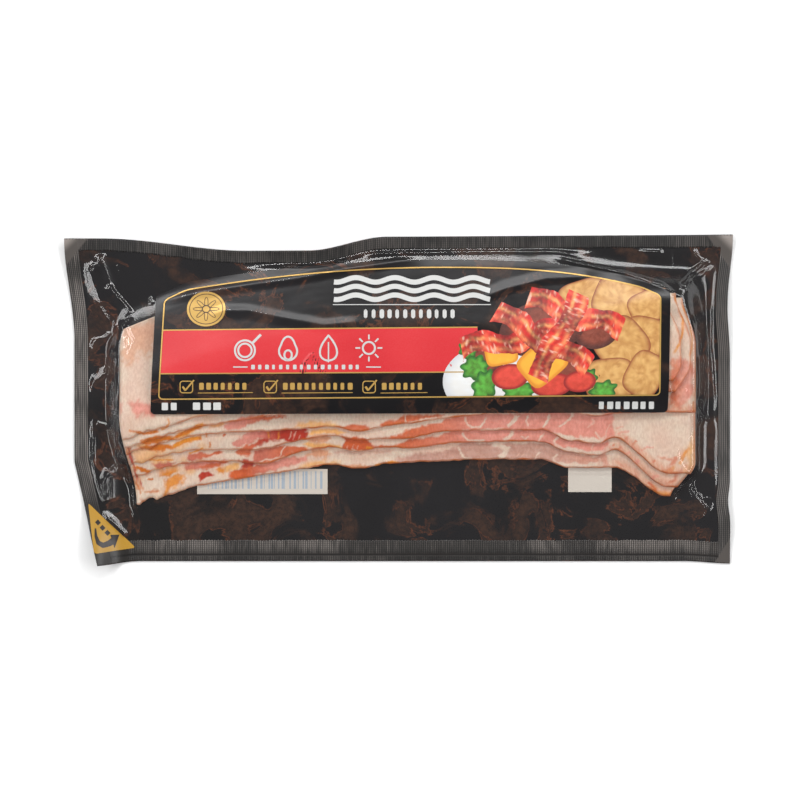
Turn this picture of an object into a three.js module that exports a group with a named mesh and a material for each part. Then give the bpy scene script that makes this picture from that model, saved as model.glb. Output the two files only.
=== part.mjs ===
// A flat vacuum pack of sliced bacon, lying on its back with the printed window up.
// Six long rashers lie shingled between a black back film and a clear front film, and the two films are
// sealed together all round. The evacuated films cling to the meat, so the pack is one solid whose top
// follows the stepped edges of the rashers and the pleats in the film beside them.
// Units are millimetres: X runs along the pack, Y up its printed face and Z up from the table.
// The origin is at the centre of the pack's length and depth, on the table.

import * as THREE from "three";

// Overall size of the sealed films
const HALF_LENGTH = 144;
const HALF_DEPTH = 71;
const FILM_THICKNESS = 0.6;

// Widths of the flat heat seals on the four sides
const SEAL_TOP = 5;
const SEAL_BOTTOM = 10;
const SEAL_LEFT = 6;
const SEAL_RIGHT = 5;

// The rashers, from the lowest to the one on top: each near edge's offset up the pack from the lowest one's,
// how far it fans out at the left and from where, its share of the droop at the right, how far the film's
// slopes reach before the near edge, beyond the far edge and beyond the ends, and where it ends at the right
const RASHER_THICKNESS = 1.85;
const RASHERS = [
  { offset: 0, fan: 0, fanStart: -60, droop: 1, near: 3, far: 16, end: 3.6, rightEnd: 127 },
  { offset: 7.6, fan: 5, fanStart: -60, droop: 1.2, near: 4.5, far: 16, end: 4.6, rightEnd: 128 },
  { offset: 12.6, fan: 5.4, fanStart: -60, droop: 1.16, near: 5, far: 16, end: 6, rightEnd: 129 },
  { offset: 16.3, fan: 7, fanStart: -20, droop: 0, near: 7, far: 16, end: 6.5, rightEnd: 129.2 },
  { offset: 25.3, fan: 0.6, fanStart: -60, droop: 0, near: 10, far: 15, end: 6.5, rightEnd: 129.2 },
  { offset: 30, fan: 0, fanStart: -60, droop: 0, near: 12, far: 11, end: 6.5, rightEnd: 129.2 },
];
const FAN_END = -109;

// Where a rasher's near edge dips, or rises for a depth below 0
const WAVES = [
  { rasher: 1, at: -57, spread: 10, depth: 2.6 },
  { rasher: 1, at: 6, spread: 11, depth: 1.6 },
  { rasher: 1, at: 93, spread: 4, depth: -1.5 },
  { rasher: 2, at: -57, spread: 10, depth: 1.2 },
  { rasher: 2, at: 1, spread: 12, depth: 2.3 },
  { rasher: 2, at: 93, spread: 4, depth: -1.8 },
];
const FAR_EDGE = 57;
const FAR_STEP = 6.5;
const FAR_STEP_LESS_AT_RIGHT = 4.5;
const LEFT_END = -121.3;
const CORNER_REACH = 5.5;

const clamp01 = (t) => Math.min(1, Math.max(0, t));
const smooth = (t) => clamp01(t) ** 2 * (3 - 2 * clamp01(t));
const ramp = (from, to, value) => smooth((value - from) / (to - from));
const bump = (value, centre, spread) => clamp01(1 - ((value - centre) / (2 * spread)) ** 2) ** 4;
const mix = (a, b, t) => a + (b - a) * t;

// The outline is a rectangle whose sides are drawn in where the contents pull on the films.
const topSide = (x) =>
  HALF_DEPTH + 0.006 * x - 5.8 * ramp(-130, -65, x) * (1 - ramp(-39, -5, x));
const bottomSide = (x) =>
  1 - HALF_DEPTH - 1.9 * ramp(-112, -132, x) - 1.1 * ramp(124, 145, x);
const leftSide = (y) =>
  3.1 - HALF_LENGTH - 4.3 * ramp(26, HALF_DEPTH, y) + 10.8 * clamp01((-26 - y) / 46);
const rightSide = (y) =>
  HALF_LENGTH + 1.2 * ramp(50, HALF_DEPTH, y) - 1.2 * bump(y, 40, 14) - 0.9 * bump(y, -44, 6);

// Loose film lifts off the table: a curled corner, the drawn-in stretch at the top and waves at the right.
const LIFTS = [
  { x: -133, y: -73, alongX: 9, alongY: 22, height: 7 },
  { x: -62, y: 72, alongX: 44, alongY: 7, height: 3.2 },
  { x: -147, y: 70, alongX: 12, alongY: 16, height: 2.2 },
  { x: 148, y: 38, alongX: 9, alongY: 16, height: 2.0 },
  { x: 148, y: -50, alongX: 9, alongY: 14, height: 1.8 },
  { x: 146, y: 74, alongX: 12, alongY: 10, height: 1.2 },
];
const lift = (x, y) =>
  LIFTS.reduce(
    (sum, l) => sum + l.height * bump(x, l.x, l.alongX) * bump(y, l.y, l.alongY),
    0,
  );

// The lowest rasher's near edge is nearly straight, with a few waves, and falls away at the left.
const nearEdge = (x) =>
  -25.8 -
  2.2 * ramp(45, -25, x) -
  0.165 * Math.max(0, -30 - x) -
  0.15 * Math.max(0, -88 - x) -
  2.0 * bump(x, -17, 8);
const droop = (x) => 3.8 * ramp(62, 74, x) + 12.5 * ramp(94, 117, x);

// Every rasher lies further up the pack than the one below it. The upper ones rise a little to the right.
function lowerEdge(i, x) {
  const { offset, fan, fanStart, droop: share } = RASHERS[i];
  let edge = nearEdge(x) + offset + fan * ramp(fanStart, FAN_END, x) - share * droop(x);
  if (share === 0) {
    edge += 4 * ramp(-10, 50, x);
  }
  if (i > 0) {
    edge -= 1.4 * bump(x, 86, 8);
  }
  for (const { rasher, at, spread, depth } of WAVES) {
    if (rasher === i) {
      edge -= depth * bump(x, at, spread);
    }
  }
  return edge;
}
const farEdge = (x) => FAR_EDGE - 8.5 * ramp(70, 120, x) - 21 * (Math.max(0, -10 - x) / 97) ** 1.8;
const farStep = (x) => FAR_STEP - FAR_STEP_LESS_AT_RIGHT * ramp(72, 116, x);
const leftEnd = (y) => LEFT_END + 7.5 * ramp(-6, -48, y) + 4 * ramp(22, 40, y);
const endPull = (y) => 9 * ramp(-27, -43, y) + 6 * ramp(24, 46, y);

// Height of the film over the pile: a soft step before each rasher's near edge, longer under the printed
// panel, and slopes where the film tents down from the pile's ends and far edge to the back film.
function pileHeight(x, y) {
  const corner = CORNER_REACH * ramp(26, 42, y);
  let height = 0;
  RASHERS.forEach((rasher, i) => {
    const { near, far, end } = rasher;
    const upperEdge = farEdge(x) - farStep(x) * (RASHERS.length - 1 - i);
    const rightEnd = rasher.rightEnd - endPull(y);
    const step = smooth((y - lowerEdge(i, x) + near) / (near + 1));
    const beyond = smooth((upperEdge - y + far) / far);
    const left = smooth((x - leftEnd(y) + end) / (end + 0.5));
    const right = smooth((rightEnd - x + end + corner) / (end + 0.5 + corner));
    height += RASHER_THICKNESS * step * beyond * left * right;
  });
  return height;
}

// Pleats of loose film: the points of each crest, its height, and the width of its slopes on the left and
// right of the way along it.
const PLEATS = [
  {
    crest: [[-130, 64.1], [-128, 57.6], [-125.9, 51.5], [-124.1, 46.7]],
    height: 1.25,
    left: 3.3,
    right: 7.0,
  },
  {
    crest: [[-126.1, 50.7], [-124.6, 47.6], [-121.3, 44.1], [-118, 40.2], [-115.7, 36.5]],
    height: 1.3,
    left: 1.6,
    right: 6.0,
  },
  {
    crest: [[-133, 61.1], [-133.7, 55.9], [-132.6, 51.5], [-130.2, 45.4], [-128, 41.1]],
    height: 1.3,
    left: 5.0,
    right: 3.9,
  },
  {
    crest: [[-126.5, 15.4], [-127.4, 11.1], [-130, 8.9], [-132.8, 7.2], [-134.8, 2]],
    height: 1.3,
    left: 1.6,
    right: 3.6,
  },
  { crest: [[-122.4, -28], [-124.4, -34.1], [-124.6, -45]], height: 1.7, left: 4.4, right: 1.7 },
  { crest: [[-129.4, -48.9], [-124.6, -52.8], [-118, -59.4]], height: 1.5, left: 3.6, right: 1.7 },
  {
    crest: [[133.7, 61.5], [130.5, 58], [127.2, 55.4], [124.8, 51.5], [121.1, 47.8]],
    height: 1.2,
    left: 1.6,
    right: 1.6,
  },
  {
    crest: [
      [136.3, 59.8], [134.1, 56.3], [130, 53.9],
      [126.7, 52.4], [124.4, 49.1], [124.1, 45.9],
    ],
    height: 1.0,
    left: 1.8,
    right: 1.6,
  },
  {
    crest: [
      [137.2, 60.7], [136.6, 50.2], [135.4, 36.7], [135.2, 24.1],
      [136.1, 12.4], [137.1, -0.2], [135.9, -8],
    ],
    height: 0.9,
    left: 1.6,
    right: 2.2,
  },
  {
    crest: [
      [135.9, -6.3], [138, -12.8], [137.4, -22.4],
      [137.4, -32.4], [138.3, -44.1], [137.8, -58.5],
    ],
    height: 0.9,
    left: 1.6,
    right: 1.6,
  },
  {
    crest: [[127.2, -32.4], [127, -37.2], [128.5, -41.5], [132, -45.9], [134.6, -47.6]],
    height: 1.3,
    left: 1.7,
    right: 1.6,
  },
];
const SLOPE_POWER = 1.25;
const FADE_SHARE = 0.15;

// A pleat's height at a point, from its distance to the nearest part of the crest; it fades at both ends.
function onePleat({ crest, height, left, right }, x, y) {
  let nearest = Infinity;
  let side = 0;
  let along = 0;
  let total = 0;
  for (let n = 1; n < crest.length; n += 1) {
    const [fromX, fromY] = crest[n - 1];
    const run = [crest[n][0] - fromX, crest[n][1] - fromY];
    const length = Math.hypot(...run);
    const t = clamp01(((x - fromX) * run[0] + (y - fromY) * run[1]) / length ** 2);
    const away = Math.hypot(x - fromX - t * run[0], y - fromY - t * run[1]);
    if (away < nearest) {
      nearest = away;
      side = (y - fromY) * run[0] - (x - fromX) * run[1];
      along = total + t * length;
    }
    total += length;
  }
  const slope = clamp01(1 - nearest / (side > 0 ? left : right)) ** SLOPE_POWER;
  const share = along / total;
  return height * slope * smooth(share / FADE_SHARE) * smooth((1 - share) / FADE_SHARE);
}
const pleatHeight = (x, y) => PLEATS.reduce((sum, pleat) => sum + onePleat(pleat, x, y), 0);

// Inside the seals the films are free to rise; on them they lie flat together.
function freedom(x, y) {
  const sides = [
    x - leftSide(y) - SEAL_LEFT,
    rightSide(y) - SEAL_RIGHT - x,
    y - bottomSide(x) - SEAL_BOTTOM,
    topSide(x) - SEAL_TOP - y,
  ];
  return smooth(Math.min(...sides) / 3);
}

const topHeight = (x, y) =>
  lift(x, y) + FILM_THICKNESS + freedom(x, y) * (pileHeight(x, y) + pleatHeight(x, y));

// Grid lines from 0 to 1 across the pack, closer together where the surface bends most.
function gridLines(span, stretches) {
  const lines = [0];
  let start = -span;
  for (const { to, spacing } of stretches) {
    const cells = Math.max(1, Math.round((to - start) / spacing));
    for (let c = 1; c <= cells; c += 1) {
      lines.push((mix(start, to, c / cells) + span) / (2 * span));
    }
    start = to;
  }
  return lines;
}
const columns = gridLines(HALF_LENGTH, [
  { to: -138, spacing: 3 },
  { to: -108, spacing: 1.4 },
  { to: 108, spacing: 6.2 },
  { to: 139, spacing: 1.4 },
  { to: HALF_LENGTH, spacing: 2.5 },
]);
const rows = gridLines(HALF_DEPTH, [
  { to: -61, spacing: 5 },
  { to: -48, spacing: 3.2 },
  { to: -7, spacing: 1.7 },
  { to: 44, spacing: 5.6 },
  { to: 66, spacing: 2.4 },
  { to: HALF_DEPTH, spacing: 2.5 },
]);

// A point of the pack's plan from its shares of the length and depth.
function planPoint(u, v) {
  const nominal = mix(-HALF_DEPTH, HALF_DEPTH, v);
  const x = mix(leftSide(nominal), rightSide(nominal), u);
  return [x, mix(bottomSide(x), topSide(x), v)];
}

// The back film is flatter than the front, so it keeps only some of the lines away from the borders.
const BORDER_SHARE = 0.09;
const KEEP_EVERY = 3;
const backLines = (lines) =>
  lines.flatMap((line, n) => {
    const border = line < BORDER_SHARE || line > 1 - BORDER_SHARE;
    return border || n % KEEP_EVERY === 0 ? [n] : [];
  });

// One closed solid: the front film's surface, the back film's surface, and the thin rim between them.
function sealedPackGeometry() {
  const points = [];
  const faces = [];
  const addLayer = (columnIndices, rowIndices, height) => {
    const ids = new Map();
    for (const r of rowIndices) {
      for (const c of columnIndices) {
        const [x, y] = planPoint(columns[c], rows[r]);
        ids.set(`${c},${r}`, points.length / 3);
        points.push(x, y, height(x, y));
      }
    }
    return (c, r) => ids.get(`${c},${r}`);
  };
  // Each cell is split along its more level diagonal, so that a slanting pleat stays smooth.
  const addCells = (columnIndices, rowIndices, id, faceUp) => {
    for (let r = 1; r < rowIndices.length; r += 1) {
      for (let c = 1; c < columnIndices.length; c += 1) {
        const a = id(columnIndices[c - 1], rowIndices[r - 1]);
        const b = id(columnIndices[c], rowIndices[r - 1]);
        const d = id(columnIndices[c], rowIndices[r]);
        const e = id(columnIndices[c - 1], rowIndices[r]);
        const rise = (p, q) => Math.abs(points[3 * p + 2] - points[3 * q + 2]);
        const halves = rise(a, d) <= rise(b, e) ? [a, b, d, a, d, e] : [a, b, e, b, d, e];
        faces.push(...(faceUp ? halves : halves.reverse()));
      }
    }
  };
  const everyColumn = columns.map((_, n) => n);
  const everyRow = rows.map((_, n) => n);
  const backColumns = backLines(columns);
  const backRows = backLines(rows);
  const front = addLayer(everyColumn, everyRow, topHeight);
  const back = addLayer(backColumns, backRows, lift);
  addCells(everyColumn, everyRow, front, true);
  addCells(backColumns, backRows, back, false);

  // The rim runs round anticlockwise. Between two kept lines its lower corner fans to the front's points.
  const lastColumn = columns.length - 1;
  const lastRow = rows.length - 1;
  const sides = [
    { all: everyColumn, kept: backColumns, place: (n) => [n, 0] },
    { all: everyRow, kept: backRows, place: (n) => [lastColumn, n] },
    { all: everyColumn, kept: backColumns, place: (n) => [n, lastRow], reversed: true },
    { all: everyRow, kept: backRows, place: (n) => [0, n], reversed: true },
  ];
  for (const { all, kept, place, reversed } of sides) {
    const order = reversed ? [...all].reverse() : all;
    let lower = order[0];
    for (let n = 1; n < order.length; n += 1) {
      const [before, here] = [order[n - 1], order[n]];
      faces.push(back(...place(lower)), front(...place(here)), front(...place(before)));
      if (kept.includes(here)) {
        faces.push(back(...place(lower)), back(...place(here)), front(...place(here)));
        lower = here;
      }
    }
  }

  const geometry = new THREE.BufferGeometry();
  geometry.setAttribute("position", new THREE.Float32BufferAttribute(points, 3));
  geometry.setIndex(faces);
  geometry.computeVertexNormals();
  return geometry;
}

const filmMaterial = new THREE.MeshStandardMaterial({
  color: new THREE.Color(0.16, 0.13, 0.13),
  roughness: 0.25,
  metalness: 0,
});

const baconPack = new THREE.Group();
const sealedPack = new THREE.Mesh(sealedPackGeometry(), filmMaterial);
sealedPack.name = "sealed_pack";
baconPack.add(sealedPack);

export default baconPack;
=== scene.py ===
"""The looks of a flat vacuum pack of sliced bacon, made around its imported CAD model.

The sections follow the pack as it is put together: the dark back film and the prints on it, the rashers,
the clear front film, the printed label on the front film, the heat seals, and then the studio. Sizes are in
millimetres, X along the pack, Y up its printed face and Z up, as in the CAD model."""

import bpy
import numpy as np
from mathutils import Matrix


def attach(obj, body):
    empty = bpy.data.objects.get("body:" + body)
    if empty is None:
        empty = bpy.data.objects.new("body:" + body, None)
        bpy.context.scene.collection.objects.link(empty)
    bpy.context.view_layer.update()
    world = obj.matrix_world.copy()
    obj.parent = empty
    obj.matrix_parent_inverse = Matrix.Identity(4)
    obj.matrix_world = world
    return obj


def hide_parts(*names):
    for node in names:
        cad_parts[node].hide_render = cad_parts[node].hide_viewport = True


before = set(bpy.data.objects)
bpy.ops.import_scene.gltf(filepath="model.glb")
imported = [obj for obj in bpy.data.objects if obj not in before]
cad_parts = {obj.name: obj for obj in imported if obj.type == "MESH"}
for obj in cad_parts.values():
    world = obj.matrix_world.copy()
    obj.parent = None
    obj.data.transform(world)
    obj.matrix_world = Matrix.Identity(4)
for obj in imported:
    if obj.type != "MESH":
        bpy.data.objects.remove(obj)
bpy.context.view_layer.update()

# Back film
# The lower web of the pack: thin plastic printed almost black, with a marbled pattern of brown clouds and
# fine red-brown veins. It lies flat on the table, and lifts where its border curls.
MM = 0.001
HALF_LENGTH = 144
HALF_DEPTH = 71
BACK_FILM = 0.12


def smooth(t):
    """Eases from 0 to 1: three times the square of t less twice its cube, with t kept from 0 to 1."""
    t = np.clip(t, 0, 1)
    return t * t * (3 - 2 * t)


def ramp(start, end, value):
    """0 before start and 1 after end, eased between them; start may be above end."""
    return smooth((value - start) / (end - start))


def bump(value, centre, spread):
    """A bell that is 1 at its centre and 0 from twice its spread on: (1 - d squared) to the fourth."""
    return np.clip(1 - ((value - centre) / (2 * spread)) ** 2, 0, 1) ** 4


def top_side(x):
    """The upper edge's height: level, and drawn in along the stretch left of the middle."""
    return HALF_DEPTH + 0.006 * x - 5.8 * ramp(-130, -65, x) * (1 - ramp(-39, -5, x))


def bottom_side(x):
    """The lower edge's height: level, and a little lower at both corners."""
    return 1 - HALF_DEPTH - 1.9 * ramp(-112, -132, x) - 1.1 * ramp(124, 145, x)


def left_side(y):
    """The left edge's place: flared at the top, and slanting inwards below."""
    return 3.1 - HALF_LENGTH - 4.3 * ramp(26, HALF_DEPTH, y) + 10.8 * np.clip((-26 - y) / 46, 0, 1)


def right_side(y):
    """The right edge's place: flared at the top, with two shallow waists."""
    return HALF_LENGTH + 1.2 * ramp(50, HALF_DEPTH, y) - 1.2 * bump(y, 40, 14) - 0.9 * bump(y, -44, 6)


def plan(u, v):
    """The point at share u of the pack's length and share v of its depth, between the four edges."""
    nominal = HALF_DEPTH * (2 * v - 1)
    x = left_side(nominal) + u * (right_side(nominal) - left_side(nominal))
    return x, bottom_side(x) + v * (top_side(x) - bottom_side(x))


def lift(x, y):
    """How far loose film is off the table: a sum of bells, the largest at the curled corner."""
    places = (
        (-133, -73, 9, 22, 7), (-62, 72, 44, 7, 3.2), (-147, 70, 12, 16, 2.2),
        (148, 38, 9, 16, 2.0), (148, -50, 9, 14, 1.8), (146, 74, 12, 10, 1.2),
    )
    return sum(h * bump(x, cx, sx) * bump(y, cy, sy) for cx, cy, sx, sy, h in places)


def mottle(x, y, size, seed):
    """A smooth random field from -1 to 1: random values on a slanting lattice of that size, eased between."""
    table = np.random.default_rng(seed).uniform(-1, 1, (256, 256))
    gx = (0.8 * x + 0.6 * y) / size + 300
    gy = (0.8 * y - 0.6 * x) / size + 300
    ix = np.floor(gx).astype(int)
    iy = np.floor(gy).astype(int)
    fx = smooth(gx - ix)
    fy = smooth(gy - iy)

    def at(a, b):
        return table[(ix + a) % 256, (iy + b) % 256]

    low = at(0, 0) + fx * (at(1, 0) - at(0, 0))
    high = at(0, 1) + fx * (at(1, 1) - at(0, 1))
    return low + fy * (high - low)


def grid(points):
    """The vertices and four-sided faces of a grid of points whose rows run up and columns to the right."""
    rows, columns = points.shape[:2]
    ids = np.arange(rows * columns).reshape(rows, columns)
    faces = np.stack([ids[:-1, :-1], ids[:-1, 1:], ids[1:, 1:], ids[1:, :-1]], axis=-1)
    return points.reshape(-1, 3), faces.reshape(-1, 4)


def shell(top, bottom):
    """A closed body between two like grids: the top, the bottom turned over, and a rim round both."""
    rows, columns = top.shape[:2]
    ids = np.arange(rows * columns).reshape(rows, columns)
    upper = grid(top)[1]
    lower = upper[:, ::-1] + rows * columns
    ring = np.concatenate([ids[0, :-1], ids[:-1, -1], ids[-1, :0:-1], ids[:0:-1, 0]])
    after = np.roll(ring, -1)
    under = rows * columns
    rim = np.stack([ring + under, after + under, after, ring], axis=-1)
    vertices = np.concatenate([top.reshape(-1, 3), bottom.reshape(-1, 3)])
    return vertices, np.concatenate([upper, lower, rim])


def join(parts):
    """Several meshes as one: their vertices in a row, and their faces counted on."""
    starts = np.cumsum([0] + [len(vertices) for vertices, _ in parts[:-1]])
    faces = [faces + start for (_, faces), start in zip(parts, starts)]
    return np.concatenate([vertices for vertices, _ in parts]), np.concatenate(faces)


def linear(colour):
    """A colour given as 0 to 255, as a share of light: the sRGB curve undone."""
    share = np.asarray(colour, float) / 255
    return np.where(share <= 0.04045, share / 12.92, ((share + 0.055) / 1.055) ** 2.4)


def make(name, mesh_parts, material, tints=None):
    """Puts vertices and faces, in millimetres, into a new piece of the pack, with a tint for each vertex."""
    vertices, faces = mesh_parts
    mesh = bpy.data.meshes.new(name)
    mesh.from_pydata((vertices * MM).tolist(), [], faces.tolist())
    mesh.polygons.foreach_set("use_smooth", np.ones(len(faces), bool))
    if tints is not None:
        layer = mesh.color_attributes.new(name="tint", type="FLOAT_COLOR", domain="POINT")
        rgba = np.ones((len(vertices), 4))
        rgba[:, :3] = tints
        layer.data.foreach_set("color", rgba.ravel())
    mesh.materials.append(material)
    mesh.validate()
    piece = bpy.data.objects.new(name, mesh)
    bpy.context.scene.collection.objects.link(piece)
    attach(piece, "root")
    return piece


class Value:
    """A shader socket that takes part in sums: each operation adds the Math node for it."""

    def __init__(self, shader, socket):
        self.shader = shader
        self.socket = socket

    def math(self, operation, *others):
        """A Math node of that operation on this value and the others."""
        return self.shader.add("ShaderNodeMath", {"operation": operation}, dict(enumerate((self,) + others)))

    def __add__(self, other):
        return self.math("ADD", other)

    def __sub__(self, other):
        return self.math("SUBTRACT", other)

    def __rsub__(self, other):
        return self.shader.add("ShaderNodeMath", {"operation": "SUBTRACT"}, {0: other, 1: self})

    def __mul__(self, other):
        return self.math("MULTIPLY", other)

    __radd__ = __add__
    __rmul__ = __mul__

    def __abs__(self):
        return self.math("ABSOLUTE")

    def over(self, start, end):
        """0 at start and 1 at end, eased and kept within them."""
        settings = {"interpolation_type": "SMOOTHSTEP"}
        inputs = {"Value": self, "From Min": start, "From Max": end}
        return self.shader.add("ShaderNodeMapRange", settings, inputs)


class Shader:
    """A new material and the few ways its nodes are made."""

    def __init__(self, name):
        self.material = bpy.data.materials.new(name)
        self.material.use_nodes = True
        self.tree = self.material.node_tree
        self.tree.nodes.clear()
        self.place = self.add("ShaderNodeTexCoord", output="Object")

    def add(self, kind, settings=None, inputs=None, output=0):
        """Adds a node: its settings first, then a value or a link for each input named or counted."""
        node = self.tree.nodes.new(kind)
        for key, value in (settings or {}).items():
            setattr(node, key, value)
        for key, value in (inputs or {}).items():
            if isinstance(value, Value):
                self.tree.links.new(value.socket, node.inputs[key])
            else:
                node.inputs[key].default_value = value
        return Value(self, node.outputs[output]) if node.outputs else None

    def noise(self, scale, detail=3, roughness=0.5, stretch=(1, 1, 1), distortion=0.0):
        """A noise from about 0 to 1 with so many clouds to the metre, drawn out where stretch is small."""
        place = self.add("ShaderNodeMapping", {}, {"Vector": self.place, "Scale": stretch})
        inputs = {"Vector": place, "Scale": scale, "Detail": detail}
        inputs.update({"Roughness": roughness, "Distortion": distortion})
        return self.add("ShaderNodeTexNoise", {}, inputs)

    def mix(self, factor, first, second):
        """Two colours mixed: the first where the factor is 0, the second where it is 1."""
        pair = {6: first, 7: second}
        for key, colour in pair.items():
            if not isinstance(colour, Value):
                pair[key] = (*linear(colour), 1)
        return self.add("ShaderNodeMix", {"data_type": "RGBA"}, {0: factor, **pair}, output=2)

    def relief(self, height, distance):
        """A normal bent by a height from 0 to 1, that stands for so many millimetres."""
        return self.add("ShaderNodeBump", {}, {"Height": height, "Distance": distance * MM})

    def surface(self, inputs):
        """A plain surface with these inputs; returns its shader for mixing."""
        return self.add("ShaderNodeBsdfPrincipled", {}, inputs)

    def finish(self, shader):
        """Sends a shader to the material's output and returns the material."""
        self.add("ShaderNodeOutputMaterial", {}, {"Surface": shader})
        return self.material


def marble(shader):
    """The marbled print's colour: near-black, with brown patches where a noise is high, a thin lighter rim
    round some of the patches, and a fine grain inside them."""
    depth = shader.noise(46, 6, 0.6, distortion=1.1)
    grain = shader.noise(420, 4, 0.65)
    patch = depth.over(0.47, 0.64) * (grain.over(0.3, 0.7) * 0.6 + 0.3)
    picked = shader.noise(37, 2).over(0.44, 0.58)
    rim = (1 - abs(depth - 0.535).over(0.0, 0.02)) * picked * grain.over(0.25, 0.6)
    ground = shader.mix(shader.noise(9, 2).over(0.4, 0.7), (17, 15, 17), (27, 25, 28))
    return shader.mix(rim * 0.6, shader.mix(patch, ground, (70, 47, 36)), (118, 68, 44))


def back_film_finish():
    """Satin dark print with the marbling, slightly crinkled, and a faint unevenness in its gloss."""
    shader = Shader("back_film")
    worn = shader.noise(60, 4)
    inputs = {"Base Color": marble(shader), "Roughness": worn * 0.2 + 0.25, "Specular IOR Level": 0.3}
    inputs["Normal"] = shader.relief(shader.noise(60, 2, 0.5, distortion=0.6), 0.25)
    return shader.finish(shader.surface(inputs))


def even_plan(columns, rows):
    """The pack's plan on an even grid of shares."""
    return plan(*np.meshgrid(np.linspace(0, 1, columns), np.linspace(0, 1, rows)))


x, y = even_plan(190, 96)
back_top = np.stack([x, y, lift(x, y) + BACK_FILM], axis=-1)
back_bottom = np.stack([x, y, lift(x, y)], axis=-1)
back_film = make("back_film", shell(back_top, back_bottom), back_film_finish())
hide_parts("sealed_pack")


# Rashers
# Six long slices of streaky bacon, cut about 1.85 mm thick and laid like shingles from the bottom up. Lean
# and fat run along them in the same places, and the smoked rim shows as an orange-brown line.
RASHER_THICKNESS = 1.85
OFFSETS = (0, 7.6, 12.6, 16.3, 25.3, 30.0)
FANS = (0, 5.0, 5.4, 7.0, 0.6, 0)
FAN_STARTS = (-60, -60, -60, -20, -60, -60)
DROOPS = (1, 1.2, 1.16, 0, 0, 0)
REACHES = (3.0, 4.5, 5.0, 7.0, 10.0, 12.0)
END_REACHES = (3.6, 4.6, 6.0, 6.5, 6.5, 6.5)
RIGHT_ENDS = (127.0, 128.0, 129.0, 129.2, 126.5, 122.0)
UPPER_SLANT = 9
LEFT_END = -121.3
FAR_EDGE = 57
FAR_STEP = 6.5
FAR_TAPER = 9
FAR_REACHES = (16, 16, 16, 16, 15, 11)
# Where a near edge dips, or rises for a depth below 0: the rasher, the place, its spread and the depth
WAVES = (
    (1, -57, 10, 2.6), (1, 6, 11, 1.6), (1, 93, 4, -1.5),
    (2, -57, 10, 1.2), (2, 1, 12, 2.3), (2, 93, 4, -1.8),
)


def lower_edge(i, x):
    """Rasher i's near edge: the lowest one's line, its own offset and fan at the left, its share of the
    droop at the right, and its waves."""
    near = -25.8 - 2.2 * ramp(45, -25, x) - 0.165 * np.maximum(0, -30 - x)
    near = near - 0.15 * np.maximum(0, -88 - x) - 2.0 * bump(x, -17, 8)
    droop = 3.8 * ramp(62, 74, x) + 12.5 * ramp(94, 117, x)
    edge = near + OFFSETS[i] + FANS[i] * ramp(FAN_STARTS[i], -109, x) - DROOPS[i] * droop
    if DROOPS[i] == 0:
        edge = edge + 4 * ramp(-10, 50, x)
    if i > 0:
        edge = edge - 1.4 * bump(x, 86, 8)
    for rasher, place, spread, depth in WAVES:
        if rasher == i:
            edge = edge - depth * bump(x, place, spread)
    return edge


def upper_edge(i, x):
    """Rasher i's far edge: the pile's, less a step for each rasher above it, shorter at the right."""
    far = FAR_EDGE - 8.5 * ramp(70, 120, x) - 21 * (np.maximum(0, -10 - x) / 97) ** 1.8
    return far - (FAR_STEP - 4.5 * ramp(72, 116, x)) * (len(OFFSETS) - 1 - i)


def left_end(y):
    """The pile's left end: upright, and leaning in below and at the top."""
    return LEFT_END + 7.5 * ramp(-6, -48, y) + 4 * ramp(22, 40, y)


def right_end(i, y):
    """Rasher i's right end: upright, and drawn in below and at the top, the two upper ones more."""
    slant = UPPER_SLANT * ramp(16, -2, y) if i > 3 else 0
    return RIGHT_ENDS[i] - slant - 9 * ramp(-27, -43, y) - 6 * ramp(24, 46, y)


def film_pile(x, y):
    """The film's height over the pile: a soft step before each rasher's near edge, longer under the label,
    and slopes down from its ends. At the right it spans the ends of the upper rashers."""
    height = 0
    corner = 5.5 * ramp(26, 42, y)
    for i in range(len(OFFSETS)):
        near = REACHES[i]
        far = FAR_REACHES[i]
        end = END_REACHES[i]
        across = smooth((y - lower_edge(i, x) + near) / (near + 1))
        across = across * smooth((upper_edge(i, x) - y + far) / far)
        right = smooth((right_end(min(i, 3), y) - x + end + corner) / (end + 0.5 + corner))
        height = height + RASHER_THICKNESS * across * right * smooth((x - left_end(y) + end) / (end + 0.5))
    return height


def wobble(i, x):
    """The small unevenness of rasher i's cut edges, in millimetres, most at the left."""
    torn = (0.28 + 0.5 * ramp(-85, -110, x)) * mottle(x, 0 * x + 9 * i, 2.6, 40 + i)
    if i == 0:
        torn = torn + 0.8 * ramp(-100, -104, x) * mottle(x, 0 * x, 1.5, 47)
    return torn


def cover(i, x, y, rounding):
    """The share of rasher i's thickness at a point: a quarter round at its near edge and its ends, an eased
    slope at its far edge, and 1 further in."""
    inside = np.minimum(x - left_end(y), right_end(i, y) - x)
    inside = np.minimum(inside, y - lower_edge(i, x) - wobble(i, x))
    rounded = np.sqrt(1 - (1 - np.clip(inside / rounding, 0, 1)) ** 2)
    return rounded * smooth((upper_edge(i, x) - y) / FAR_TAPER)


def rasher_plan(i, s, t):
    """The point at share s of rasher i's length and share t of its width."""
    x = LEFT_END + s * (RIGHT_ENDS[i] - LEFT_END)
    y = lower_edge(i, x) + t * (upper_edge(i, x) - lower_edge(i, x))
    x = left_end(y) + s * (right_end(i, y) - left_end(y))
    low = lower_edge(i, x) + wobble(i, x)
    return x, low + t * (upper_edge(i, x) - low)


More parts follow.
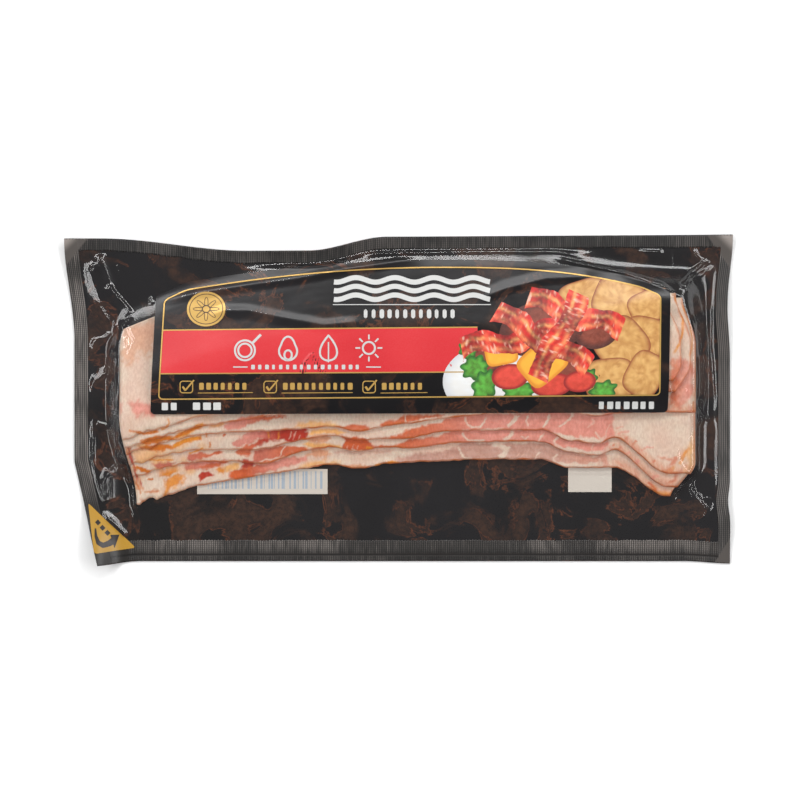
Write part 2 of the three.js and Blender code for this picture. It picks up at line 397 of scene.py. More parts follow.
FAT = (228, 208, 189)
PINK_FAT = (226, 188, 168)
WARM_FAT = (238, 180, 110)
TAN_FAT = (220, 160, 124)
PALE_ORANGE = (226, 142, 34)
TOAST = (208, 112, 8)
RIM = (204, 104, 30)
# The dark rim's colour, also used for the painted shade line along each rasher's near edge
DARK_RIM_AND_SHADE = (136, 46, 16)
SALMON = (214, 110, 68)
RED_LEAN = (208, 94, 42)
DARK_LEAN = (182, 44, 14)
ROSE = (226, 150, 134)
PINK_LEAN = (218, 162, 142)
MAUVE = (206, 116, 94)
GREY_LEAN = (204, 160, 144)
PLEAT_SHADE = (214, 128, 106)
# Powers of the shade in red, green and blue, which make lean warmer where it is darker
LEAN_SHADE_POWERS = (0.6, 1.0, 1.2)

# Patches of lean, toasted and yellow fat: the rashers that show them, their colours at the left and the
# right, how soft and how torn the border is, the strength, and the outline's points
PATCHES = (
    ((4, 5), TAN_FAT, TAN_FAT, 3, 1.4, 0.75, ((-120.2, 31.1), (-108, 34.6), (-104.6, 33.7), (-105, 20.7),
        (-108.9, 18.9), (-112.4, 20.7), (-115, 15.4), (-120.2, 16.3))),
    ((4, 5), ROSE, ROSE, 1.8, 0.9, 0.97, ((-116.7, -1.1), (-112.4, -0.2), (-107.2, -2), (-104.6, -5),
        (-106.3, -7.6), (-109.8, -5.9), (-112.8, -7.6), (-115, -3.7))),
    ((4, 5), ROSE, ROSE, 1.4, 0.4, 0.7, ((-121.1, -1.1), (-119.4, -1.1), (-119.1, -5), (-120.2, -6.3))),
    ((3, 4), MAUVE, MAUVE, 1, 0.5, 0.97, ((-97.9, -7.6), (-94, -7.1), (-92, -8.1), (-94.5, -10.1),
        (-97, -9.8))),
    ((2, 3), PALE_ORANGE, PALE_ORANGE, 1.2, 0.5, 0.7, ((-82.1, -9.6), (-77.2, -8.6), (-74.7, -9.6),
        (-77.2, -11.6), (-81.7, -12.1))),
    ((1, 2), MAUVE, SALMON, 0.8, 0.7, 1, ((-92.5, -24.9), (-91.5, -23.4), (-87.1, -22.7), (-82.6, -23.4),
        (-80.7, -22.7), (-78.7, -21.4), (-77.2, -21.7), (-75.7, -22.9), (-77.7, -23.4), (-82.1, -24.6),
        (-87.1, -26.1), (-91.5, -26.4))),
    ((0, 1), MAUVE, ROSE, 0.8, 0.6, 0.97, ((-94, -27.4), (-91, -26.9), (-85.6, -26.9), (-81.7, -26.4),
        (-77.2, -26.1), (-75.2, -25.4), (-74.5, -27.1), (-78.2, -27.9), (-80.7, -28.8), (-87.1, -30.3),
        (-92, -30.8), (-93, -29.3))),
    ((0, 1), SALMON, RED_LEAN, 0.8, 0.6, 0.92, ((-87.1, -29.3), (-82.1, -27.4), (-78.2, -27.1),
        (-75.2, -25.9), (-74.2, -26.9), (-77.2, -28.4), (-80.2, -29.3), (-84.6, -30.3))),
    ((0, 1), DARK_LEAN, DARK_LEAN, 0.7, 0.6, 1, ((-86.8, -32.8), (-85.6, -31.1), (-82.1, -30.8),
        (-79.7, -32.3), (-82.6, -33.3), (-85.1, -34.3), (-86.6, -35.8))),
    ((1,), MAUVE, MAUVE, 0.9, 0.5, 0.97, ((-106.8, -27.9), (-103.9, -27.1), (-98.9, -26.9), (-97, -27.4),
        (-98.9, -29.3), (-101.9, -29.8), (-104.8, -29.3))),
    ((0,), PALE_ORANGE, PALE_ORANGE, 1, 0.5, 0.97, ((-79.7, -29.8), (-77.2, -28.8), (-75.2, -29.8),
        (-76.2, -31.8), (-78.7, -32.1))),
    ((0, 1), WARM_FAT, WARM_FAT, 1.2, 0.5, 0.97, ((-76.2, -29.3), (-73.3, -27.9), (-68.9, -27.1),
        (-68.9, -29.3), (-72.3, -30.8), (-75.2, -31.3))),
    ((0,), TOAST, PALE_ORANGE, 1.2, 0.8, 0.92, ((-112.3, -29.3), (-107.8, -30.3), (-103.9, -30.1),
        (-99.9, -28.4), (-96.5, -28.1), (-95.5, -30.3), (-98.9, -32.3), (-104.4, -32.5), (-108.8, -31.8),
        (-111.8, -30.8))),
    ((0,), PALE_ORANGE, PALE_ORANGE, 1.3, 0.9, 0.92, ((-102.4, -34.8), (-98.9, -32.8), (-95, -32.1),
        (-93, -33), (-93.5, -35.8), (-97, -37.7), (-99.9, -39.2), (-101.4, -42.2), (-102.9, -41.7),
        (-101.9, -37.7))),
    ((0,), TOAST, TOAST, 0.8, 0.6, 0.8, ((-109.8, -39.7), (-106.8, -39.2), (-104.4, -38.5),
        (-103.4, -39.2), (-105.8, -40.4), (-108.8, -40.7))),
    ((0,), TOAST, TOAST, 0.8, 0.6, 0.7, ((-111.8, -42.9), (-109.3, -43.2), (-108.6, -44.4),
        (-110.3, -44.6))),
    ((3, 4), TOAST, PALE_ORANGE, 0.9, 0.6, 0.97, ((-112.3, -18.6), (-107.8, -17), (-104.4, -15.6),
        (-100.4, -15.9), (-97, -15.6), (-93, -13.8), (-88.6, -11.7), (-84.6, -9.7), (-83.1, -10.8),
        (-87.1, -12.8), (-91.5, -15.3), (-96, -16.9), (-98.9, -17.6), (-103.9, -18.6), (-108.8, -19.2))),
    ((2, 3), TOAST, PALE_ORANGE, 0.9, 0.6, 0.97, ((-112.7, -20.1), (-108.8, -19.6), (-103.9, -19),
        (-99.9, -19.7), (-97, -19.5), (-93, -17.7), (-89.1, -15.8), (-85.7, -15.4), (-85.5, -17.4),
        (-89.5, -17.9), (-93, -19.4), (-97, -21.1), (-99.9, -21.5), (-103.9, -22.2), (-107.8, -21.9),
        (-110.8, -20.9))),
    ((0, 1), TOAST, PALE_ORANGE, 0.9, 0.7, 0.97, ((-115, -28.6), (-112.7, -28.8), (-109.8, -30.1),
        (-106.8, -30.9), (-102.9, -30.9), (-98.9, -29.8), (-97, -28.4), (-95.5, -29.3), (-96.5, -31.3),
        (-99.9, -32.5), (-103.9, -32.8), (-108.3, -32.3), (-111.8, -30.8), (-114.2, -29.8))),
    ((0, 1, 2, 3), TOAST, DARK_RIM_AND_SHADE, 0.8, 0.7, 0.75, ((-117.2, -13.1), (-114.7, -13.8), (-114.2, -16),
        (-116, -18), (-115.6, -21.4), (-114.7, -24.9), (-115.5, -27.9), (-117.2, -26.9), (-117.9, -23.4),
        (-117.6, -19))),
    ((0, 1), DARK_RIM_AND_SHADE, TOAST, 0.8, 0.7, 0.6, ((-116.7, -28.4), (-114.7, -29.8), (-112.7, -33.8),
        (-111, -37.7), (-110.5, -39.7), (-112.3, -39.2), (-114.5, -36.2), (-116.1, -32.3))),
    ((3, 4, 5), RED_LEAN, RED_LEAN, 0.9, 0.9, 0.75, ((125.4, 15.9), (127.2, 16.3), (128.5, 12.8),
        (128, 9.3), (126.3, 11.1))),
    ((3, 4, 5), RED_LEAN, SALMON, 0.9, 0.9, 0.75, ((117.6, 10.2), (120.7, 9.8), (122.8, 7.6),
        (121.5, 5.9), (118, 7.2))),
    ((3, 4, 5), RED_LEAN, SALMON, 0.9, 0.9, 0.75, ((117.6, 3.7), (120.2, 4.1), (121.1, 1.1),
        (119.4, -1.1), (117.6, -1.1))),
    ((3, 4, 5), SALMON, RED_LEAN, 0.9, 0.9, 0.7, ((124.1, 6.3), (126.7, 7.2), (127.6, 3.3), (125.9, 0.7),
        (124.1, 2.4))),
    ((3,), ROSE, ROSE, 0.8, 0.7, 0.97, ((-75.7, -10.8), (-72.3, -8.6), (-68.9, -7.6), (-68.9, -12.8),
        (-72.3, -12.3))),
    ((3, 4), ROSE, SALMON, 0.9, 0.7, 1, ((-75.6, -11.9), (-72.6, -9.9), (-68.6, -7.6), (-62.6, -6.7),
        (-49.7, -6.7), (-48.2, -7.4), (-54.2, -8.3), (-56.6, -8.8), (-61.1, -9.4), (-65.1, -10.6),
        (-68.1, -12.4), (-71.6, -13), (-74.1, -12.6))),
    ((2,), ROSE, DARK_LEAN, 0.8, 0.7, 1, ((-72.9, -18.9), (-70.6, -17.1), (-67.6, -16.1), (-66.1, -13.9),
        (-62.6, -12.7), (-56.6, -13), (-52.7, -12.2), (-45.7, -11.8), (-39.6, -11.7), (-39.3, -15.4),
        (-40.3, -17.4), (-42.7, -18.9), (-46.7, -18.4), (-50.7, -17.4), (-56.1, -16.9), (-61.1, -17),
        (-64.1, -18.6), (-68.6, -19.8), (-71.6, -19.9))),
    ((1, 2), SALMON, DARK_LEAN, 0.8, 0.6, 0.97, ((-70.9, -22.9), (-68.6, -20.9), (-64.1, -18.9),
        (-60.1, -17.1), (-55.2, -16.9), (-51.2, -17.4), (-56.1, -17.7), (-58.6, -19.1), (-62.6, -20.5),
        (-64, -22.3), (-64.7, -24), (-67.9, -24.4))),
    ((1,), MAUVE, SALMON, 0.8, 0.5, 1, ((-63.4, -24.6), (-62.6, -22.4), (-59.6, -21), (-55.6, -20.3),
        (-49.7, -19.8), (-42.7, -20), (-39.1, -20.8), (-39.1, -22.4), (-40.7, -24), (-45.7, -24.7),
        (-51.7, -24.8), (-53.7, -25.5), (-57.6, -25.7), (-61.1, -26.9), (-63.1, -26.4))),
    ((0, 1), DARK_LEAN, DARK_LEAN, 0.8, 0.7, 0.97, ((-68.9, -26.4), (-65.6, -25.6), (-63.1, -26.8),
        (-60.6, -27.1), (-62.6, -28.7), (-65.9, -29.6), (-68.4, -29.3), (-67.4, -27.8))),
    ((0, 1), RED_LEAN, SALMON, 0.7, 0.5, 0.97, ((-60.4, -27.1), (-58.1, -26), (-55.2, -25.7),
        (-52.7, -25.3), (-55.2, -26.9), (-58.1, -27.3))),
    ((0,), RED_LEAN, ROSE, 0.9, 0.6, 1, ((-73.5, -32.6), (-72.1, -31.1), (-68.6, -30), (-65.1, -29.2),
        (-61.1, -28.1), (-56.6, -27.3), (-52.7, -26.1), (-49.7, -25.3), (-45.7, -24.7), (-40.6, -24.7),
        (-40.4, -26.3), (-43.2, -27.3), (-46.7, -28.3), (-50.7, -29.6), (-55.6, -31.1), (-61.1, -32.6),
        (-64.6, -34.2), (-67.6, -34.8), (-72.6, -33.9))),
    ((3,), WARM_FAT, WARM_FAT, 1.8, 0.6, 0.92, ((-45.7, -11.9), (-42.7, -9.9), (-37.7, -9.4),
        (-32.7, -9.1), (-27.7, -9.9), (-25.7, -11.4), (-27.7, -12), (-35.2, -12.1))),
    ((2,), WARM_FAT, WARM_FAT, 1, 0.4, 1, ((-39.1, -14.9), (-37.7, -13.1), (-32.7, -12.4),
        (-27.7, -12.6), (-22.7, -14.1), (-25.2, -14.9), (-32.7, -14.4), (-35.2, -14.9))),
    ((1, 2), TAN_FAT, TAN_FAT, 1, 0.6, 0.97, ((-39.1, -15.5), (-35.2, -15), (-31.2, -14.7),
        (-29.7, -16.4), (-30.7, -18.4), (-34.7, -18.6), (-38.7, -17.9))),
    ((1,), WARM_FAT, WARM_FAT, 1, 0.4, 1, ((-40.9, -19.6), (-38.7, -18), (-34.7, -18.9), (-29.7, -18.9),
        (-25.2, -19.6), (-24.7, -21.2), (-28.7, -21), (-34.7, -20.6), (-38.7, -20.7))),
    ((0,), TAN_FAT, TAN_FAT, 1.4, 0.8, 0.97, ((-39.1, -24.4), (-38.7, -21), (-33.7, -20.8),
        (-29.7, -21.6), (-29.2, -23.9), (-31.2, -25.1), (-35.7, -24.4))),
    ((0,), WARM_FAT, WARM_FAT, 2, 0.8, 0.97, ((-43.2, -29.6), (-39.7, -27.3), (-34.7, -26.4),
        (-27.7, -26.8), (-24.7, -28.1), (-29.7, -28.1), (-35.2, -28.6), (-39.7, -29.8))),
    ((0,), GREY_LEAN, GREY_LEAN, 1, 0.9, 0.7, ((-28.7, -21.9), (-24.7, -21.7), (-17.7, -21.9),
        (-10.7, -22.1), (-2.7, -21.5), (-2.7, -22.4), (-7.7, -23.6), (-15.2, -22.9), (-22.7, -23),
        (-26.7, -23.9))),
    ((3,), SALMON, SALMON, 0.7, 0.4, 1, ((-25.2, -12.4), (-22.7, -11.3), (-18.7, -10.5), (-14.2, -10.8),
        (-12.4, -11.9), (-13.2, -13), (-17.7, -13.9), (-21.7, -13.7))),
    ((1, 2), RED_LEAN, RED_LEAN, 0.7, 0.6, 1, ((-24.8, -15.5), (-21.7, -16), (-17.7, -16.1),
        (-13.2, -16.9), (-12.7, -18), (-10.5, -20.9), (-10.7, -22), (-18.7, -21.6), (-25, -21),
        (-24.2, -19.4), (-22.8, -17.4))),
    ((0,), TAN_FAT, TAN_FAT, 0.7, 0.5, 0.97, ((-24.7, -28.2), (-21.2, -28), (-16.2, -28), (-10.7, -28.7),
        (-14.7, -29.7), (-17.7, -30.4), (-21.2, -30.1), (-23.7, -29.3))),
    ((0,), PALE_ORANGE, PALE_ORANGE, 0.6, 0.4, 1, ((-10.2, -28), (-6.7, -27.1), (-2.7, -26.6),
        (0.7, -26.6), (0.7, -27.7), (-3.7, -28.1), (-7.7, -29.4), (-10.2, -29.6))),
    ((3, 4), SALMON, SALMON, 0.8, 0.5, 1, ((-8.5, -10.8), (-6.4, -9.4), (-2.9, -8.5), (-1.2, -8.9),
        (1.1, -7.1), (2.6, -6.3), (19.6, -6.3), (17.6, -7.2), (11.6, -8), (8.6, -8.9), (4.6, -9.9),
        (0.1, -10.7), (-3.4, -11.7), (-6.9, -12))),
    ((2,), SALMON, ROSE, 0.8, 0.5, 1, ((-8.5, -17), (-2.9, -15.8), (0.1, -15.2), (3.6, -13.1),
        (7.6, -11.9), (12.6, -10.6), (18.1, -9.8), (20.1, -8.1), (25, -7), (30.5, -6.4), (65.9, -5.4),
        (65.9, -13.9), (57.5, -13.5), (50, -12.6), (45, -12.4), (37.5, -12.6), (30, -13), (20.1, -14),
        (15.6, -15.1), (10.1, -16), (0.1, -17.2), (-6.4, -17.5))),
    ((1,), SALMON, ROSE, 0.8, 0.5, 1, ((-13.4, -20.1), (-7.4, -19.6), (-2.4, -19.4), (0.6, -18.5),
        (5.1, -17), (12.6, -16.4), (18.6, -15.1), (22.5, -13.6), (27.5, -12.6), (32.5, -12.4),
        (65.9, -12.9), (65.9, -20.1), (57.5, -19.6), (50, -18.9), (37.5, -18.6), (27.5, -19.1),
        (22.5, -19.6), (15.6, -20.5), (7.6, -21.6), (-2.4, -21.3), (-12.4, -22.1))),
    ((0,), GREY_LEAN, GREY_LEAN, 1, 0.6, 1, ((-1.7, -26.4), (0.1, -24.9), (7.6, -23.4), (17.6, -22.5),
        (22.5, -21), (26.5, -19.1), (32.5, -18.4), (65.9, -19.1), (65.9, -28.3), (50, -25.9),
        (37.5, -26.1), (30, -26.3), (22.5, -26.5), (17.6, -26.9), (10.1, -27.7), (1.6, -27.3))),
    ((2, 3), ROSE, ROSE, 1, 0.5, 1, ((58.5, -4.7), (91.5, -4.7), (92.7, -6.7), (92.5, -10.2),
        (93.2, -15.2), (91.5, -16.7), (89.5, -18.2), (84, -18.7), (76.5, -17.2), (69, -14.7),
        (61.5, -13.7), (58.5, -13.2))),
    ((1,), ROSE, ROSE, 1, 0.5, 1, ((58.5, -12.2), (61.5, -12.2), (69, -14.7), (76.5, -16.2), (84, -17.7),
        (88.5, -18.2), (91, -17.2), (90.5, -21.2), (89.5, -22.7), (85, -24.7), (74.5, -22.2),
        (61.5, -20.2), (58.5, -19.2))),
    ((0,), GREY_LEAN, PINK_LEAN, 1, 0.6, 1, ((58.5, -18.2), (61.5, -19.4), (67.5, -20.7), (74.5, -22.4),
        (85, -24.7), (89.5, -22.7), (91, -24.2), (91.5, -28.2), (89.5, -30.2), (85.5, -30.9),
        (74, -30.2), (66.5, -29.2), (58.5, -27.7))),
    ((0, 1, 2), SALMON, SALMON, 1.2, 0.6, 0.7, ((112.4, -24.2), (116.4, -25.2), (120.4, -24.7),
        (120.9, -26.2), (118.4, -28.7), (116.9, -28.2), (117.4, -26.2), (113.9, -25.7))),
    ((0, 1, 2), SALMON, SALMON, 0.9, 0.5, 0.75, ((116.9, -35.9), (118.9, -33.7), (120.7, -31.7),
        (121.2, -32.7), (119.4, -35.2), (117.9, -36.4))),
    ((0, 1), PALE_ORANGE, PALE_ORANGE, 1, 0.8, 0.8, ((108.4, -36.4), (111.4, -38.2), (114.4, -40.1),
        (117.9, -40.4), (119.4, -39.6), (118.9, -41.6), (115.9, -42.6), (111.9, -40.6))),
    ((0, 1, 2), PALE_ORANGE, PALE_ORANGE, 1, 0.7, 0.6, ((113.9, -31.2), (116.9, -29.7), (119.9, -28.9),
        (118.9, -30.7), (115.4, -32.2))),
    ((2, 3, 4), TAN_FAT, WARM_FAT, 2.6, 0.8, 0.8, ((121.4, -24.2), (125.9, -19.7), (127.9, -16.7),
        (128.9, -20.2), (128.4, -28.2), (125.4, -32.2), (123.4, -30.2), (124.4, -26.2))),
    ((2, 3, 4, 5), SALMON, ROSE, 2.2, 1, 0.8, ((117.2, 16.3), (122.4, 18.9), (126.7, 14.6), (127.6, 6.7),
        (125.9, 0.7), (120.7, -3.7), (117.2, -2))),
)
# Streaks: the rashers that show them, the colour, half the width, the strength, and the line's points
STREAKS = (
    ((4, 5, 3), TOAST, 0.55, 1, ((-116.8, -13.1), (-113.7, -13.8), (-109.8, -14.5), (-105.8, -14),
        (-102.9, -13.1))),
    ((4, 5, 3), PALE_ORANGE, 0.35, 0.8, ((-102.9, -13.1), (-100.4, -11.8), (-98.9, -10.1), (-99.2, -7.6))),
    ((3, 4), TOAST, 0.95, 1, ((-111.8, -18.8), (-108.3, -17.2), (-104.4, -16.4), (-100.4, -16.5),
        (-97, -16.3))),
    ((3, 4), TOAST, 0.6, 1, ((-97, -16.3), (-93, -14.3), (-89.1, -12.6), (-84.4, -10.6))),
    ((2, 3), TOAST, 0.9, 1, ((-108.3, -21.2), (-104.4, -20.5), (-100.9, -20.2), (-97.9, -20.4))),
    ((2, 3), PALE_ORANGE, 0.7, 1, ((-97.9, -20.5), (-94.5, -18.5), (-90.5, -17), (-86.3, -16.3))),
    ((2, 3), TOAST, 0.4, 0.9, ((-86.3, -15.8), (-85.8, -17.2))),
    ((2, 3), TOAST, 0.35, 0.8, ((-83.1, -14), (-82.9, -16.5))),
    ((1, 2), TOAST, 0.3, 0.8, ((-81.7, -18), (-81.7, -20.9))),
    ((2,), RED_LEAN, 0.45, 0.9, ((-76, -16), (-75.2, -15), (-74.7, -15.3))),
    ((1, 2), PALE_ORANGE, 0.3, 0.9, ((-108.8, -25.9), (-104.4, -26.1), (-100.4, -25.9), (-97, -25.9))),
    ((1, 2), PALE_ORANGE, 0.4, 0.95, ((-91.5, -23.4), (-88.1, -22.2), (-84.1, -20.8))),
    ((0, 1), TOAST, 0.5, 0.95, ((-114.2, -28.8), (-111.8, -29.8), (-108.8, -31.1), (-106.8, -31.4))),
    ((0,), TOAST, 0.4, 0.9, ((-109.3, -34.3), (-106.3, -34.5))),
    ((0, 1, 2, 3), DARK_RIM_AND_SHADE, 0.3, 0.9, ((-116.4, -14.5), (-117.2, -17.5), (-116.9, -20.9), (-116.2, -23.9))),
    ((0, 1, 2, 3), TOAST, 0.35, 0.85, ((-116, -14.3), (-114.7, -16), (-115.5, -19))),
    ((0, 1, 2), DARK_LEAN, 0.3, 0.85, ((-116.7, -21.4), (-116.1, -24.9), (-114.7, -28.4),
        (-114.2, -31.8), (-111.8, -35.8), (-111, -38.2))),
    ((0, 1), DARK_RIM_AND_SHADE, 0.28, 0.85, ((-117.9, -23.4), (-116.7, -27.9), (-116, -31.8), (-114.7, -35.3),
        (-113.7, -37.7))),
    ((0,), TOAST, 0.3, 0.8, ((-115.7, -31.8), (-114.7, -34.8), (-112.7, -38.2), (-111.8, -41.2))),
    ((0, 1, 2), FAT, 0.3, 0.8, ((-114.7, -17), (-114.2, -19.5), (-112.3, -20.5))),
    ((0, 1, 2), FAT, 0.25, 0.7, ((-117.2, -24.9), (-115.7, -29.3), (-114.7, -32.8), (-112.7, -36.7))),
    ((1,), FAT, 0.35, 1, ((-58.4, -20.4), (-55.2, -19.7), (-52.7, -19), (-49.7, -19.2), (-46.7, -19.5),
        (-40.4, -19.9))),
    ((1,), FAT, 0.22, 0.9, ((-48.4, -19.6), (-49.9, -20.8), (-50.6, -22.4), (-51.4, -24.5))),
    ((0, 1), FAT, 0.22, 0.85, ((-60.4, -27.1), (-57.6, -25.9), (-54.2, -25.5), (-51.7, -24.9))),
    ((2,), PALE_ORANGE, 0.3, 0.8, ((-56.4, -13.1), (-56.2, -14.9), (-55.8, -16.6))),
    ((2,), PALE_ORANGE, 0.28, 0.7, ((-51.7, -13.6), (-51.9, -15.5), (-52.4, -17.1))),
    ((2,), PINK_FAT, 0.22, 0.7, ((-46.3, -13.4), (-46.9, -15.5), (-47.7, -17.4))),
    ((2,), PINK_FAT, 0.2, 0.65, ((-44.4, -13.4), (-45.2, -15.5), (-45.7, -17.4))),
    ((2,), PINK_FAT, 0.2, 0.6, ((-42.7, -14.9), (-43.2, -16.9), (-43.4, -18.6))),
    ((1, 2), PINK_FAT, 0.18, 0.65, ((-22, -19.6), (-22.5, -21.4))),
    ((1, 2), PINK_FAT, 0.18, 0.65, ((-19.7, -19.4), (-20, -21.4))),
    ((1, 2), PINK_FAT, 0.18, 0.65, ((-17.5, -19.6), (-18, -21.5))),
    ((3,), TOAST, 0.3, 0.9, ((-39.7, -12), (-33.7, -12), (-28.7, -11.9), (-25.2, -11.7))),
    ((3,), TOAST, 0.35, 0.8, ((-24.7, -13), (-21.2, -13.7), (-16.2, -13.5), (-13.2, -12.7))),
    ((0,), TOAST, 0.35, 0.9, ((-23.7, -29.1), (-20.2, -30.1), (-16.2, -29.9), (-12.7, -29.2))),
    ((1,), PALE_ORANGE, 0.5, 0.9, ((-14.2, -20.4), (-11.2, -21.4))),
    ((3,), FAT, 0.25, 0.9, ((3, -6.3), (3, -10.1))),
    ((2,), FAT, 0.4, 0.95, ((28.9, -6.4), (28.8, -8.4), (29.8, -10.4), (31.8, -11.7), (35.5, -11.7),
        (36.8, -9.9), (38, -6.9))),
    ((2,), FAT, 0.65, 0.95, ((50.6, -6.4), (50.6, -8.1), (49.3, -9.9), (46.8, -11.4))),
    ((2,), FAT, 0.3, 0.9, ((56.2, -6.4), (55, -8.9), (56.1, -11.6))),
    ((2,), FAT, 0.35, 0.9, ((65.9, -7.1), (64, -9.6), (62.2, -12.1))),
    ((2,), FAT, 0.25, 0.7, ((52.5, -6.6), (50.6, -8))),
    ((1,), FAT, 0.45, 0.95, ((27.8, -13.6), (28.3, -15.6), (30, -17.4), (34, -17.7), (38, -17.5))),
    ((1,), FAT, 0.8, 0.95, ((49.3, -13.1), (48.8, -14.9), (47.3, -16.6), (45, -17.4))),
    ((1,), FAT, 0.25, 0.8, ((53, -15.4), (54.7, -17.1), (56.7, -15.5))),
    ((1,), FAT, 0.35, 0.9, ((62.5, -15.1), (61, -16.9), (60.4, -18.6))),
    ((0,), FAT, 0.4, 0.95, ((25.8, -19.6), (26.8, -22.4), (28.5, -25.1), (31, -25.8), (35, -25.5))),
    ((0,), FAT, 0.9, 0.9, ((40, -18.9), (43.5, -19.6), (47, -21.6), (45.8, -23.9), (43, -25.2))),
    ((0,), FAT, 0.5, 0.8, ((47, -21.6), (48.6, -20.4))),
    ((0,), FAT, 0.3, 0.85, ((61.5, -22.4), (59.7, -24.6), (59, -26.1))),
    ((0,), PINK_FAT, 0.25, 0.7, ((52.5, -22.9), (51, -24.6))),
    ((0,), PINK_FAT, 0.25, 0.7, ((54.7, -23.4), (53.2, -24.6))),
    ((2, 3), FAT, 0.3, 0.85, ((65.3, -5.7), (64.5, -8.7), (63, -11.4))),
    ((2, 3), FAT, 0.4, 0.9, ((76, -6.2), (73, -9.2), (69, -11.9))),
    ((2, 3), PINK_FAT, 0.3, 0.7, ((83.5, -7.2), (84.5, -9.7), (81.5, -12.2))),
    ((2, 3), PINK_FAT, 0.3, 0.7, ((91.5, -10.2), (90, -13.7), (89.5, -16.7))),
    ((2, 3), FAT, 0.3, 0.8, ((85, -13.7), (86.5, -15.7), (87.5, -17.4))),
    ((1,), FAT, 0.35, 0.9, ((70.5, -15.2), (67.5, -17.7), (68.5, -20.2))),
    ((1,), PINK_FAT, 0.3, 0.7, ((63.5, -13.9), (61.5, -16.7))),
    ((1,), PINK_FAT, 0.3, 0.7, ((84.5, -18.7), (83.5, -21.2), (84.5, -23.7))),
    ((0,), FAT, 0.4, 0.9, ((69.3, -23.2), (67, -25.2), (67.8, -28.2))),
    ((0,), PINK_FAT, 0.4, 0.7, ((87.5, -24.7), (86.7, -28.2), (88.5, -29.7))),
    ((1, 2), ROSE, 0.3, 0.7, ((94, -12.2), (96, -11.7), (97.5, -11.9))),
    ((1, 2), ROSE, 0.4, 0.7, ((94.5, -15.2), (96.5, -13.7), (100, -13.6))),
    ((1, 2), SALMON, 0.35, 0.7, ((98, -17.4), (99, -15.7))),
    ((1, 2), SALMON, 0.4, 0.7, ((101, -19.4), (103, -17.4))),
    ((1, 2), ROSE, 0.4, 0.7, ((104.5, -22.2), (107.4, -20.4), (110.9, -20.7))),
    ((1, 2), SALMON, 0.35, 0.7, ((109.9, -27.2), (111.2, -25.9))),
    ((1,), SALMON, 0.45, 0.7, ((93.5, -18.7), (93, -20.2))),
    ((1,), SALMON, 0.45, 0.65, ((96.5, -20.2), (95, -21.7))),
    ((1,), ROSE, 0.5, 0.65, ((100.5, -22.2), (98.5, -23.7))),
    ((1,), ROSE, 0.5, 0.65, ((104.5, -25.7), (102, -27.2))),
    ((0, 1), ROSE, 0.5, 0.7, ((113.2, -32.4), (110.9, -33.2), (109.2, -34.7))),
    ((0,), RED_LEAN, 0.35, 0.8, ((107.9, -35.4), (110.2, -37.4), (112.4, -39.6))),
    ((2, 3, 4), TOAST, 0.45, 0.8, ((118.2, -5.2), (118.4, -6.7), (117.8, -7.7))),
    ((3, 4, 5), TOAST, 0.4, 0.7, ((127.7, -0.2), (127.7, -5.7))),
    ((2, 3), PALE_ORANGE, 0.6, 0.7, ((126.4, -20.2), (123.4, -23.7), (121.4, -28.2))),
    ((4, 5), PALE_ORANGE, 0.5, 0.85, ((118.5, 46.7), (121.5, 42), (122.8, 35.9), (122.4, 28.5),
        (120.7, 23.7), (118, 19.3))),
    ((3, 4, 5), PALE_ORANGE, 0.4, 0.8, ((122.4, 41.5), (124.8, 38), (126.3, 32.8), (127.2, 26.5),
        (126.7, 22), (125.3, 18.5))),
    ((2, 3, 4), TAN_FAT, 0.5, 0.7, ((126.3, 33.3), (128.9, 26.7), (129.4, 19.3), (128.9, 7.6),
        (127.6, -0.2))),
)


def blend(under, over, share):
    """One colour laid over another by a share, for every point."""
    return under + (np.asarray(over) - under) * share[..., None]


def along_line(points, px, py):
    """For each place the distance to a line's nearest point, the side of it (above 0 on the left of the way
    along), and the share of the line's length up to there."""
    points = np.array(points)
    runs = np.diff(points, axis=0)
    lengths = np.hypot(runs[:, 0], runs[:, 1])
    nearest = np.full(px.shape, np.inf)
    side = np.zeros(px.shape)
    along = np.zeros(px.shape)
    for (ax, ay), (run_x, run_y), length, before in zip(points, runs, lengths, np.cumsum(lengths) - lengths):
        t = np.clip(((px - ax) * run_x + (py - ay) * run_y) / length ** 2, 0, 1)
        away = np.hypot(px - ax - t * run_x, py - ay - t * run_y)
        closer = away < nearest
        nearest = np.where(closer, away, nearest)
        side = np.where(closer, (py - ay) * run_x - (px - ax) * run_y, side)
        along = np.where(closer, before + t * length, along)
    return nearest, side, along / lengths.sum()


def around(points, x, y, margin):
    """True at the places no further than a margin from the box round some points."""
    low = np.min(points, axis=0) - margin
    high = np.max(points, axis=0) + margin
    return (x > low[0]) & (x < high[0]) & (y > low[1]) & (y < high[1])


def within(outline, px, py):
    """True inside a closed outline: where a line to the right crosses it an odd number of times. A level side
    is never crossed, and only has to be kept from a division by 0."""
    ax, ay = np.array(outline).T[:, :, None]
    bx = np.roll(ax, -1, axis=0)
    by = np.roll(ay, -1, axis=0)
    crosses = ((ay > py) != (by > py)) & (px < ax + (bx - ax) * (py - ay) / (by - ay + (by == ay)))
    return crosses.sum(axis=0) % 2 == 1


